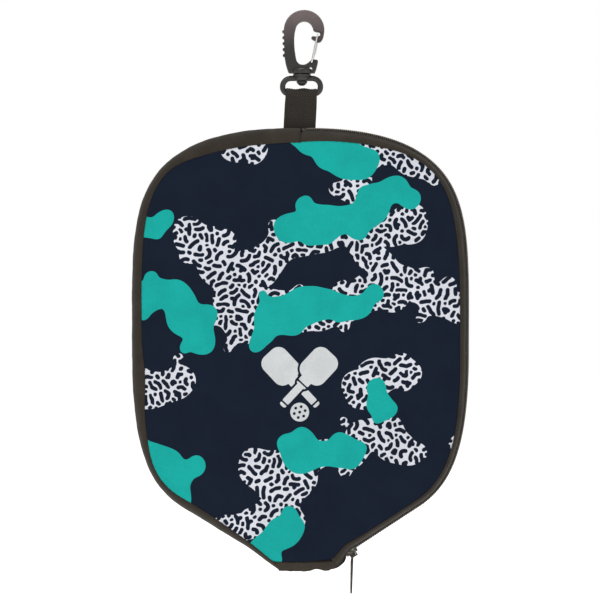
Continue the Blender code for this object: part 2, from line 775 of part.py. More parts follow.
def hook_outline():
    """Hook profile as (x, z), anticlockwise from the foot on the gate side."""
    points = [(9.6, 188.6), (10.6, 191.0), (11.8, 195.6)]
    shelf = [(11.8, 195.6), (9.6, 198.2), (7.4, 198.2)]
    points += rounded(shelf, [0, 0.8, 0], 3)[1:-1]
    # Floor of the opening, then up the inside of the spine
    points += [
        (7.0, 197.9), (5.2, 196.0), (3.6, 194.9), (1.8, 194.5), (-0.2, 194.8), (-1.6, 195.7),
        (-2.6, 197.0), (-3.4, 199.6), (-4.2, 204.5), (-4.5, 209.0), (-4.3, 214.0),
    ]
    points += arc((2.1, 217.1), 6.4, 176, 8, 9)  # inside of the crook
    points += [(8.8, 216.9), (10.6, 216.5), (12.6, 216.3)]
    points += arc((12.7, 215.0), 1.2, 70, -90, 3)  # end of the slot for the gate's crossbar
    points += [(10.4, 213.5), (9.2, 214.1)]
    points += arc((7.9, 212.9), 1.25, 80, 250, 3)  # rounded tip of the nose
    points += [
        (9.2, 210.7), (11.0, 209.7), (12.6, 209.4),
        (13.9, 209.9), (15.0, 211.6), (16.0, 214.4),
    ]
    points += arc((2.55, 217.6), 13.9, -4, 180, 14)  # outside of the crook
    for k in range(5):  # grip ridges
        z = 216.4 - 4.05 * k
        x = -11.35 + 0.12 * k
        points += [(x, z + 0.2), (x - 1.2, z - 0.45), (x - 1.2, z - 1.15), (x, z - 1.8)]
    points += [(-10.6, 197.6), (-9.6, 193.8), (-8.0, 189.2), (-7.5, 188.6)]
    return points


def build_hook():
    place = Matrix.Translation((0, HANG * MM, 0)) @ TO_XZ
    hook = outline_solid("hook_body", "hook_plastic", [hook_outline()], HOOK_HALF, place)
    bevel(hook, 0.55, angle=75)
    for radius, z0, z1 in (HOOK_FOOT, HOOK_STEM, HOOK_HEAD):
        boolean(hook, swivel_cylinder(radius, z0, z1), "UNION")
    for sign in (-1, 1):
        centre = (PIVOT[0], HANG + sign * HOOK_HALF, PIVOT[1])
        hole = cylinder(WIRE_R + GAP, PIN_HOLE_L, centre, along_y=True, segments=12)
        boolean(hook, hole, "DIFFERENCE")


def gate_leg(sign):
    """One leg of the gate, from its turned-in end up to the crossbar."""
    pivot, crossbar = Vector(PIVOT), Vector(CROSSBAR)
    up = (crossbar - pivot).normalized()
    # (point in x and z, distance from the hook's middle)
    bends = (
        (pivot, 1.5),
        (pivot, GATE_SIDE - 0.5),
        (pivot + up * 0.5, GATE_SIDE),
        (crossbar - up * 0.6, GATE_SIDE),
        (crossbar, GATE_SIDE - 0.6),
    )
    return [(q.x, HANG + sign * y, q.y) for q, y in bends]


def build_gate():
    """Wire gate: two legs beside the hook and a crossbar in the nose slot."""
    points = gate_leg(-1) + gate_leg(1)[::-1]
    wire("hook_gate", "gate_wire", points, WIRE_R, cyclic=False, resolution=2)


# ---- moving bodies --------------------------------------------------------
# name: (pivot, parent, pieces); the root also takes every piece not named here
BODIES = {
    "root": ((0, 0, 0), None, ()),
    "front_flap": (
        (FOLD_LOW[0], MID_Y - HALF_THICK - FOLD_FRONT, FOLD_LOW[1]),
        "root",
        (
            "front_flap_knit", "front_flap_foam", "front_flap_lining", "band_zip_front",
            "zip_tape_front", "zip_coil_front", "zip_end_stop_front", "mouth_binding_front",
        ),
    ),
    "zip_slide": ((SLIDER_POINT.x, MID_Y, SLIDER_POINT.y), "root", ("zip_slider",)),
    "pull_swing": (PULL_AT / MM, "zip_slide", ("zip_pull",)),
    "strap": ((STRAP_X, HANG, STRAP_BASE_Z), "root", ("strap_loop",)),
    "ring": ((SWIVEL_X, HANG, BAR_Z), "strap", ("hook_ring",)),
    "hook": ((SWIVEL_X, HANG, COLLAR_Z1), "ring", ("hook_body",)),
    "gate": ((PIVOT[0], HANG, PIVOT[1]), "hook", ("hook_gate",)),
}
SMOOTH = ("hook_ring", "hook_gate", "hook_body", "strap_loop", "band_closed_side")


def parent_to_bodies(pieces):
    """Hangs each piece from an empty at its body's pivot, without moving the piece."""
    moving = {name for _, _, names in BODIES.values() for name in names}
    frames = {}
    for body, (pivot, parent, names) in BODIES.items():
        frame = bpy.data.objects.new(body + "_frame", None)
        frame.empty_display_size = 0.01
        PARTS.objects.link(frame)
        here = Vector(pivot) * MM
        if parent:
            frame.parent = frames[parent]
            frame.location = here - Vector(BODIES[parent][0]) * MM
        frames[body] = frame
        if body == "root":
            names = [name for name in pieces if name not in moving]
        for name in names:
            pieces[name].parent = frame
            pieces[name].location = -here


build_panels()
build_bands()
mouth_binding("mouth_binding_front", -1)
mouth_binding("mouth_binding_back", 1)
build_zip_rows()
build_slider()
build_pull()
build_strap()
build_ring()
build_hook()
build_gate()

PIECES = {ob.name: ob for ob in PARTS.objects}
parent_to_bodies(PIECES)
for piece_name in SMOOTH:
    for polygon in PIECES[piece_name].data.polygons:
        polygon.use_smooth = True
# Booleans may add empty material slots after the piece's own.
for piece in PIECES.values():
    while len(piece.data.materials) > 1:
        piece.data.materials.pop()
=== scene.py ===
# A padded sleeve for a paddle: printed front, plain back, a zip down one side, an open mouth
# at the bottom, and a webbing loop with a ring and hook at the crown.
# It stands in the XZ plane with the crown at +Z and the zip at +X. The front faces -Y and the
# thickness is centred on y = MID_Y. Sizes are in millimetres, turned to metres by MM.
import math
from collections import namedtuple

import bmesh
import bpy
import numpy as np
from mathutils import Matrix, Vector, kdtree


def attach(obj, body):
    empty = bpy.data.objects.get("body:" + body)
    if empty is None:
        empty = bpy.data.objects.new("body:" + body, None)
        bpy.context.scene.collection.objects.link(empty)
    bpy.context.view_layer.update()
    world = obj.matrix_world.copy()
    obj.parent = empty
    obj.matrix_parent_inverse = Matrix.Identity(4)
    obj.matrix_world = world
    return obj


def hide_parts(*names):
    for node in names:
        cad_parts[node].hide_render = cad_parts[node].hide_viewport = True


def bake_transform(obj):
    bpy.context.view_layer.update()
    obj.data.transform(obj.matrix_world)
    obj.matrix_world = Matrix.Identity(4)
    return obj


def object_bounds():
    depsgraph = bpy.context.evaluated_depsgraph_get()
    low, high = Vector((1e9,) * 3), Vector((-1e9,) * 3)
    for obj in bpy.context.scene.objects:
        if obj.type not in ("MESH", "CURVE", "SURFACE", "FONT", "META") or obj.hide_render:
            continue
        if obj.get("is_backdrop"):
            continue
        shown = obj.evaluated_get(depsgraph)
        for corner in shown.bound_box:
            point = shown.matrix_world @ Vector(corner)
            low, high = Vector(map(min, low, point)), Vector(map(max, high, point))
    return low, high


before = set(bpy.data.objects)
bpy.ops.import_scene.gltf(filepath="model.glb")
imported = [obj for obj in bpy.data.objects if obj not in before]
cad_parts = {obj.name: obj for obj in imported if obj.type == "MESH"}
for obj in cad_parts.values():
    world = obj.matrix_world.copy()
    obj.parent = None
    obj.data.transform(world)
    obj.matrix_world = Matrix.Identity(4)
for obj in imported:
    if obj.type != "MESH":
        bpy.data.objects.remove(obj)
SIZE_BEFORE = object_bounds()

MM = 0.001
SCENE = bpy.context.scene
SCENE.view_settings.view_transform = "Standard"

# Outline, as (x, z); x is given for the +X side where both sides share it.
CROWN_Z = 150.8
SHOULDER, SHOULDER_SLOPE = (76.3, 137.6), 28.2  # slope in degrees below level
SIDE, HIP = (114.6, -1.6), (80.3, -106.8)
FACE_END_Z, MOUTH_Z = -143.1, -149.4
ZIP_NECK = (30.5, -139.3)
CLOSED_NECK, CLOSED_MOUTH = (-34.0, -135.2), (-15.0, MOUTH_Z)
# The zip side's lower end bellies out, then turns along the mouth.
FLAP_TURN_X, FLAP_MID, FLAP_END = 36.2, (28.9, -145.2), (20.4, -149.45)

# Thickness
HALF_THICK, EDGE_HALF = 12.5, 10.0
BAND_THICK = 2.4
RAMP, RAMP_MOUTH = 26.0, 12.0  # how far in a face takes to rise to full thickness
ZIP_HALF = 4.6
MID_Y = -HALF_THICK
HANG_Y = MID_Y + 6.2  # plane of the strap, ring and hook

# Edge band: (distance left to the mouth, band width)
CLOSED_BAND = (
    (0, 3.0), (12, 3.4), (26, 4.2), (39, 5.2), (53, 6.0), (68, 6.5), (83, 6.1), (92, 5.1),
    (105, 4.4), (119, 4.7), (130, 5.9), (145, 6.9), (160, 8.1), (170, 9.2), (180, 9.4),
    (190, 8.5), (200, 7.4), (235, 7.2), (255, 7.2), (275, 6.8), (296, 6.2), (321, 5.7),
    (330, 6.3), (343, 8.4), (352, 9.9), (363, 10.8), (402, 11.2), (430, 10.2),
)
ZIP_BAND = (
    (0, 9.2), (9, 8.4), (16, 7.4), (25, 6.3), (36, 5.8), (60, 5.7), (124, 5.9), (189, 6.7),
    (245, 7.0), (275, 7.2), (300, 6.6), (322, 6.0), (340, 6.6), (352, 7.4), (366, 8.6),
    (402, 9.3), (430, 10.2),
)

# Name of the front flap's body.
FLAP = "front_flap"

# Seam lines of the skins: (distance in past the band's width, z of the lower end)
OUTER_SEAM = (-1.2, FACE_END_Z - 0.8)
INNER_SEAM = (0.3, FACE_END_Z - 2.6)

BADGE_AT, BADGE_SCALE = (-0.5, -24.5), 1.22


# ---------------------------------------------------------------------------
# Outline
# ---------------------------------------------------------------------------
Side = namedtuple("Side", "points inward width run total")


def unit(vector):
    vector = np.array(vector, float)
    return vector / np.linalg.norm(vector)


def ease(s):
    s = np.clip(s, 0, 1)
    return s * s * (3 - 2 * s)


def unit_rows(rows):
    return rows / np.linalg.norm(rows, axis=1)[:, None]


def cubic(start, start_dir, start_pull, end, end_dir, end_pull, count):
    """Points of a cubic from start up to, but without, its end."""
    start, end = np.array(start, float), np.array(end, float)
    handle_a = start + np.array(start_dir, float) * start_pull
    handle_b = end - np.array(end_dir, float) * end_pull
    s = (np.arange(count) / count)[:, None]
    r = 1 - s
    return r**3 * start + 3 * r**2 * s * handle_a + 3 * r * s * s * handle_b + s**3 * end


def side_path(sign, step):
    """One side of the outline from crown to mouth, resampled at an even step."""
    hip = np.array((sign * HIP[0], HIP[1]))
    neck = np.array(CLOSED_NECK if sign < 0 else ZIP_NECK)
    hip_dir = unit(neck - hip)
    slope = math.radians(SHOULDER_SLOPE)
    shoulder, side = (sign * SHOULDER[0], SHOULDER[1]), (sign * SIDE[0], SIDE[1])
    shoulder_dir = (sign * math.cos(slope), -math.sin(slope))
    if sign < 0:
        lower = (
            np.linspace(hip, neck, 240)[:-6],
            np.linspace(neck, CLOSED_MOUTH, 60)[4:],
        )
    else:
        turn = hip + (neck - hip) * ((FLAP_TURN_X - hip[0]) / (neck[0] - hip[0]))
        mid_dir = unit((-0.66, -0.75))
        lower = (
            np.linspace(hip, turn, 200)[:-1],
            cubic(turn, hip_dir, 3.2, FLAP_MID, mid_dir, 3.2, 60),
            cubic(FLAP_MID, mid_dir, 3.4, FLAP_END, (-1, 0), 3.6, 60),
        )
    rough = np.vstack(
        [
            cubic((0, CROWN_Z), (sign, 0), 2.0, shoulder, shoulder_dir, 33.4, 400),
            cubic(shoulder, shoulder_dir, 47.7, side, (0, -1), 74.7, 500),
            cubic(side, (0, -1), 66.5, hip, hip_dir, 26.1, 400),
            *lower,
        ]
    )
    lengths = np.linalg.norm(np.diff(rough, axis=0), axis=1)
    reached = np.concatenate([[0], np.cumsum(lengths)])
    total = reached[-1]
    run = np.linspace(0, total, int(round(total / step)) + 1)
    points = np.stack([np.interp(run, reached, rough[:, k]) for k in (0, 1)], 1)
    tangent = np.gradient(points, axis=0)
    tangent[0] = (sign, 0)
    tangent = unit_rows(tangent)
    inward = np.stack([tangent[:, 1], -tangent[:, 0]], 1) * sign
    left_to_mouth, widths = zip(*(CLOSED_BAND if sign < 0 else ZIP_BAND))
    width = np.interp(total - run, left_to_mouth, widths)
    # Average the width over about 5 mm each way.
    reach = max(1, int(5 / step))
    window = np.ones(2 * reach + 1) / (2 * reach + 1)
    width = np.convolve(np.pad(width, reach, mode="edge"), window, "valid")
    return Side(points, inward, width, run, total)


def plane_tree(points):
    tree = kdtree.KDTree(len(points))
    for i, (x, z) in enumerate(points):
        tree.insert((x, z, 0), i)
    tree.balance()
    return tree


ZIP_SIDE, CLOSED_SIDE = side_path(1, 1.5), side_path(-1, 1.5)
ZIP_FINE, CLOSED_FINE = side_path(1, 0.3), side_path(-1, 0.3)
EDGE_TREE = plane_tree(np.vstack([ZIP_FINE.points, CLOSED_FINE.points]))
EDGE_WIDTHS = np.concatenate([ZIP_FINE.width, CLOSED_FINE.width])


def edge_distance(points):
    """Distance in from the outline, and the band's width there."""
    distance, width = np.empty(len(points)), np.empty(len(points))
    for i, (x, z) in enumerate(points):
        _, nearest, distance[i] = EDGE_TREE.find((x, z, 0))
        width[i] = EDGE_WIDTHS[nearest]
    return distance, width


def panel_height(points, distance, width):
    """Height of a face off the middle plane."""
    ramp = RAMP_MOUTH + (RAMP - RAMP_MOUTH) * ease((points[:, 1] - MOUTH_Z) / 50.0)
    return EDGE_HALF + (HALF_THICK - EDGE_HALF) * ease((distance - width - 0.3) / ramp)


# ---------------------------------------------------------------------------
# Noise and pattern fields
# ---------------------------------------------------------------------------
def smooth_noise(points, scale, seed):
    """Even value noise over the plane, -1 to 1."""
    grid = np.random.default_rng(seed).uniform(-1, 1, (64, 64))
    u, v = points[:, 0] / scale + 100.0, points[:, 1] / scale + 100.0
    i, j = np.floor(u).astype(int), np.floor(v).astype(int)
    mix_u, mix_v = ease(u - i), ease(v - j)

    def blended(row):
        return grid[i % 64, row % 64] * (1 - mix_u) + grid[(i + 1) % 64, row % 64] * mix_u

    return blended(j) * (1 - mix_v) + blended(j + 1) * mix_v


def scatter_strokes(low, high, allowed):
    """Short bent strokes and dots dropped at random, long ones first, each kept clear of
    the ones before it."""
    rng = np.random.default_rng(7)
    reach, cell, step = 3.0, 0.35, 0.5
    count_x, count_z = ((high - low) / cell).astype(int) + 1
    taken = np.zeros((count_x, count_z), bool)
    span = int(reach / cell) + 1
    offsets = np.arange(-span, span + 1)
    off_x, off_z = np.meshgrid(offsets, offsets, indexing="ij")
    close = (off_x**2 + off_z**2) * cell * cell < reach * reach
    off_x, off_z = off_x[close], off_z[close]
    strokes = []
    for length, tries in ((6.5, 40000), (4.6, 50000), (2.8, 60000), (1.3, 60000), (0.0, 60000)):
        starts = rng.uniform(low, high, (tries, 2))
        headings, bends = rng.uniform(0, 2 * math.pi, tries), rng.normal(0, 0.09, tries)
        lengths = length * rng.uniform(0.7, 1.25, tries)
        branches, kinks = rng.uniform(0, 1, tries), rng.normal(0, 0.7, tries)
        for k in np.nonzero(allowed(starts))[0]:
            u, v = ((starts[k] - low) / cell).astype(int)
            if taken[u, v]:
                continue
            count = int(lengths[k] / step) + 1
            middle = count // 2
            angles = headings[k] + bends[k] * np.arange(count)
            if count > 6:
                angles[middle:] += kinks[k]
            moves = step * np.stack([np.cos(angles[1:]), np.sin(angles[1:])], 1)
            stroke = starts[k] + np.vstack([np.zeros((1, 2)), np.cumsum(moves, 0)])
            if branches[k] < 0.22 and count > 6:
                angle = angles[middle] + (1.5 if branches[k] < 0.11 else -1.5)
                direction = np.array((math.cos(angle), math.sin(angle)))
                twig = stroke[middle] + np.arange(1, 6)[:, None] * step * direction
                stroke = np.vstack([stroke, twig])
            cells = ((stroke - low) / cell).astype(int)
            if (cells < 0).any() or (cells[:, 0] >= count_x).any():
                continue
            if (cells[:, 1] >= count_z).any() or taken[cells[:, 0], cells[:, 1]].any():
                continue
            for u, v in cells[:: 2 if len(cells) > 2 else 1]:
                near_u = np.clip(u + off_x, 0, count_x - 1)
                near_v = np.clip(v + off_z, 0, count_z - 1)
                taken[near_u, near_v] = True
            strokes.append(stroke)
    return strokes


def stroke_field(points, strokes):
    """Positive in the pale ground between the strokes, in millimetres; strokes swell until
    they nearly touch."""
    owners = np.concatenate([np.full(len(stroke), k) for k, stroke in enumerate(strokes)])
    tree = plane_tree(np.vstack(strokes))
    field = np.empty(len(points))
    for i, (x, z) in enumerate(points):
        nearest = second = 9.0
        owner = -1
        for _, j, distance in tree.find_n((x, z, 0), 26):
            if owner < 0:
                owner, nearest = owners[j], distance
            elif owners[j] != owner:
                second = distance
                break
        field[i] = -min(1.42 - nearest, (second - nearest) / 2 - 0.52)
    return field


def camo_layout():
    """Camouflage shapes, teal and pale by turns: runs of overlapping discs walked at random
    from a staggered grid, with plain ground round the badge. Rows are x, z, radius."""
    rng = np.random.default_rng(79)
    teal, light = [], []
    for row in range(6):
        for col in range(4):
            x = -111.0 + 74.0 * col + (34.0 if row % 2 else 0.0) + rng.uniform(-9, 9)
            z = 133.0 - 52.0 * row + rng.uniform(-8, 8)
            heading = rng.choice((0.0, math.pi)) + rng.uniform(-0.6, 0.6)
            pale = (row + col) % 2 == 1
            discs = []
            for _ in range(int(rng.integers(9, 13)) if pale else int(rng.integers(7, 11))):
                radius = rng.uniform(8.0, 14.5) if pale else rng.uniform(5.5, 13.5)
                if math.hypot(x - BADGE_AT[0], z - BADGE_AT[1]) > 30.0 + radius:
                    discs.append((x, z, radius))
                    if rng.uniform() < 0.7:
                        aside = heading + rng.choice((-1.0, 1.0)) * rng.uniform(1.1, 1.9)
                        reach = radius * rng.uniform(0.95, 1.4)
                        side_x = x + reach * math.cos(aside)
                        side_z = z + reach * math.sin(aside)
                        discs.append((side_x, side_z, rng.uniform(4.0, 8.5)))
                heading += rng.uniform(-0.9, 0.9)
                x += radius * 1.05 * math.cos(heading)
                z += radius * math.sin(heading)
            if discs:
                (light if pale else teal).append(np.array(discs))
    return teal, light


def blot_field(points, shapes):
    """Distance in from the edge of the nearest shape, negative outside, in millimetres.
    Discs of a shape run together."""
    blend, far = 2.6, 6.0
    wobble = np.stack([smooth_noise(points, 17.0, seed) for seed in (71, 72)], 1) * 2.4
    moved = points + wobble
    best = np.full(len(points), -far)
    for discs in shapes:
        off_x, off_z = moved[:, :1] - discs[:, 0], moved[:, 1:] - discs[:, 1]
        depth = discs[:, 2] - np.hypot(off_x, off_z)
        top = depth.max(1)
        near = top > -far - 6.0
        total = np.exp((depth[near] - top[near, None]) / blend).sum(1)
        best[near] = np.maximum(best[near], top[near] + blend * np.log(total) - blend * 0.6)
    return best


def badge_field(points):
    """A plain badge: two crossed paddles and a perforated ball. Positive inside, in
    millimetres."""
    x, z = ((points - BADGE_AT) / BADGE_SCALE).T

    def paddle(degrees):
        angle = math.radians(degrees)
        across = x * math.cos(angle) + z * math.sin(angle)
        along = -x * math.sin(angle) + z * math.cos(angle)

        def box(half_across, half_along, radius, centre):
            over_a = np.abs(across) - (half_across - radius)
            over_b = np.abs(along - centre) - (half_along - radius)
            outside = np.hypot(np.maximum(over_a, 0), np.maximum(over_b, 0))
            return -(outside + np.minimum(np.maximum(over_a, over_b), 0) - radius)

        blade, throat = box(8.2, 10.0, 5.4, 15.5), box(3.4, 4.2, 1.6, 4.6)
        full = np.maximum(np.maximum(blade, throat), box(2.1, 9.0, 1.4, -5.5))
        gaps = np.minimum(np.abs(along - 2.2), np.abs(along + 12.3)) - 0.5
        return np.minimum(full, gaps), full

    upper, upper_full = paddle(-43)
    lower, _ = paddle(43)
    paddles = np.maximum(upper, np.minimum(lower, -(upper_full + 1.2)))
    ball_z = z + 14.0
    ball = 5.2 - np.hypot(x, ball_z)
    for k in range(7):  # six holes in a ring and one in the middle
        radius = 0.0 if k == 6 else 3.1
        angle = math.radians(60 * k + 15)
        hole_x, hole_z = radius * math.cos(angle), radius * math.sin(angle)
        ball = np.minimum(ball, np.hypot(x - hole_x, ball_z - hole_z) - 0.85)
    return np.maximum(paddles, ball) * BADGE_SCALE


# ---------------------------------------------------------------------------
# Mesh helpers
# ---------------------------------------------------------------------------
def new_object(name, verts_mm, faces, material=None, write_index=False):
    mesh = bpy.data.meshes.new(name)
    mesh.from_pydata((np.asarray(verts_mm) * MM).tolist(), [], faces)
    if material:
        mesh.materials.append(material)
    count = len(mesh.polygons)
    if write_index:  # stores the material index as a face attribute
        mesh.polygons.foreach_set("material_index", np.zeros(count, np.int32))
    mesh.polygons.foreach_set("use_smooth", np.ones(count, bool))
    mesh.update()
    ob = bpy.data.objects.new(name, mesh)
    SCENE.collection.objects.link(ob)
    return ob


def fix_normals(ob, weld=True):
    work = bmesh.new()
    work.from_mesh(ob.data)
    if weld:
        bmesh.ops.remove_doubles(work, verts=work.verts, dist=0.000002)
    bmesh.ops.recalc_face_normals(work, faces=work.faces)
    work.to_mesh(ob.data)
    work.free()
    return ob


def sharpen(ob, degrees):
    ob.data.set_sharp_from_angle(angle=math.radians(degrees))


def set_float(ob, name, values):
    attribute = ob.data.attributes.new(name, "FLOAT", "POINT")
    attribute.data.foreach_set("value", np.asarray(values, np.float32))


def tube_grid(name, rows, material, weld=True):
    """Capped tube through rows of closed sections, shaped (rows, points, 3)."""
    count, around = rows.shape[:2]
    index = np.arange(count * around).reshape(count, around)
    low, high = index[:-1], index[1:]
    quads = np.stack([low, np.roll(low, -1, 1), np.roll(high, -1, 1), high], -1)
    faces = quads.reshape(-1, 4).tolist() + [index[0][::-1].tolist(), index[-1].tolist()]
    return fix_normals(new_object(name, rows.reshape(-1, 3), faces, material), weld)


def path_rows(side, section, start=0.0, end=None):
    """Sections placed along a side. section(width, run) gives rows of distance in and
    height off the middle plane."""
    end = side.total if end is None else end
    inner = side.run[(side.run > start + 0.4) & (side.run < end - 0.4)]
    runs = np.concatenate([[start], inner, [end]])
    places, inward = along(side, runs)
    widths = np.interp(runs, side.run, side.width)
    rows = []
    for place, normal, width, run in zip(places, inward, widths, runs):
        depth, height = section(width, run).T
        x, z = place[0] + normal[0] * depth, place[1] + normal[1] * depth
        rows.append(np.stack([x, MID_Y + height, z], 1))
    return np.array(rows)


def along(side, runs):
    """Points and inward normals of a side at given runs."""
    points, normals = (
        np.stack([np.interp(runs, side.run, values[:, k]) for k in (0, 1)], -1)
        for values in (side.points, side.inward)
    )
    return points, unit_rows(normals)


def face_boundary(inset, end_z):
    """Closed seam line of a panel, run clockwise from the crown as seen from the front."""
    sides = []
    for side in (CLOSED_FINE, ZIP_FINE):
        line = side.points + side.inward * (side.width + inset)[:, None]
        below = np.nonzero(line[:, 1] < end_z)[0]
        if len(below):  # cut the line where it passes end_z
            k = below[0]
            share = (line[k - 1, 1] - end_z) / (line[k - 1, 1] - line[k, 1])
            line = np.vstack([line[:k], line[k - 1] + (line[k] - line[k - 1]) * share])
        sides.append(line)
    left, right = sides
    count = int(np.hypot(*(right[-1] - left[-1])) / 0.25)
    shares = np.linspace(0, 1, count + 1)[1:-1, None]
    mouth = right[-1] + (left[-1] - right[-1]) * shares
    return np.vstack([right, mouth, left[:0:-1]])


def panel_grid(cell, boundary):
    """A square grid cut to a closed line, its rim moved onto the line. Returns points,
    faces and rim edges."""
    low, high = boundary.min(0) - cell, boundary.max(0) + cell
    count_x, count_z = (int((high[k] - low[k]) / cell) + 2 for k in (0, 1))
    xs, zs = low[0] + np.arange(count_x) * cell, low[1] + np.arange(count_z) * cell
    grid_x, grid_z = np.meshgrid(xs, zs, indexing="ij")
    points = np.stack([grid_x.ravel(), grid_z.ravel()], 1)
    inside = np.zeros(len(points), bool)
    z = points[:, 1]
    for (x0, z0), (x1, z1) in zip(boundary, np.roll(boundary, -1, 0)):
        if z0 == z1:
            continue
        hit = (z0 > z) != (z1 > z)
        if hit.any():
            inside[hit] ^= points[hit, 0] < x0 + (z[hit] - z0) * (x1 - x0) / (z1 - z0)
    # Only points beside the line are tested for snapping onto it.
    inside_grid = inside.reshape(count_x, count_z)
    near = np.zeros_like(inside_grid)
    for move_x in (-1, 0, 1):
        for move_z in (-1, 0, 1):
            near |= np.roll(np.roll(inside_grid, move_x, 0), move_z, 1) != inside_grid
    tree = plane_tree(boundary)
    kept = inside.copy()
    for i in np.nonzero(near.ravel())[0]:
        place, _, distance = tree.find((points[i, 0], points[i, 1], 0))
        if distance < 0.5 * cell:
            points[i] = place[0], place[1]
            kept[i] = True
    grid = kept.reshape(count_x, count_z).astype(int)
    index = np.arange(count_x * count_z).reshape(count_x, count_z)
    corners = grid[:-1, :-1] + grid[1:, :-1] + grid[:-1, 1:] + grid[1:, 1:]

    def squares(wanted):
        i, j = np.nonzero(corners == wanted)
        return np.stack([index[i, j], index[i + 1, j], index[i + 1, j + 1], index[i, j + 1]], 1)

    # Full squares, then triangles where three corners are kept.
    faces = squares(4).tolist()
    faces += [[v for v in square if kept[v]] for square in squares(3).tolist()]
    used = np.unique([v for face in faces for v in face])
    renumber = np.zeros(len(points), int)
    renumber[used] = np.arange(len(used))
    faces = [[int(renumber[v]) for v in face] for face in faces]
    edges = dict.fromkeys(e for face in faces for e in zip(face, face[1:] + face[:1]))
    rim = [e for e in edges if (e[1], e[0]) not in edges]
    return points[used], faces, rim


Panel = namedtuple("Panel", "points faces rim distance width height")


def make_panel(cell, seam):
    points, faces, rim = panel_grid(cell, face_boundary(*seam))
    distance, width = edge_distance(points)
    height = panel_height(points, distance, width)
    return Panel(points, faces, rim, distance, width, height)


def lifted(points, heights):
    """Plane points at signed heights off the middle plane."""
    return np.stack([points[:, 0], MID_Y + heights, points[:, 1]], 1)


def sheet_object(name, panel, outer_height, inner_height, material, closed, sign):
    """A panel skin between two heights. Open skins get only a turned-down rim."""
    count = len(panel.points)
    outer = lifted(panel.points, sign * outer_height)
    inner = lifted(panel.points, sign * inner_height)
    turn = -1 if sign > 0 else 1
    faces = [face[::turn] for face in panel.faces]
    if closed:
        verts = np.vstack([outer, inner])
        faces += [[v + count for v in face[::-turn]] for face in panel.faces]
        wall = {i: i + count for edge in panel.rim for i in edge}
    else:
        kept = sorted({i for edge in panel.rim for i in edge})
        verts = np.vstack([outer, inner[kept]])
        wall = {i: count + k for k, i in enumerate(kept)}
    faces += [[b, a, wall[a], wall[b]][::turn] for a, b in panel.rim]
    return new_object(name, verts, faces, material, write_index=True)


def fold_blend(ob):
    """Bakes the object's transform into its mesh."""
    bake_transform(ob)


def declare(ob, slot, body, *replaced):
    """Hides the frame's pieces that an object replaces and attaches it to its body; for the front
    flap it only bakes the transform. slot is not used.
    """
    if replaced:
        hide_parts(*replaced)
    if body == FLAP:
        fold_blend(ob)
    else:
        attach(ob, body)


# ---------------------------------------------------------------------------
# Materials
# ---------------------------------------------------------------------------
def srgb(*channels):
    """sRGB bytes to a linear colour."""

    def linear(c):
        c /= 255.0
        return c / 12.92 if c <= 0.04045 else ((c + 0.055) / 1.055) ** 2.4

    return (*map(linear, channels), 1.0)


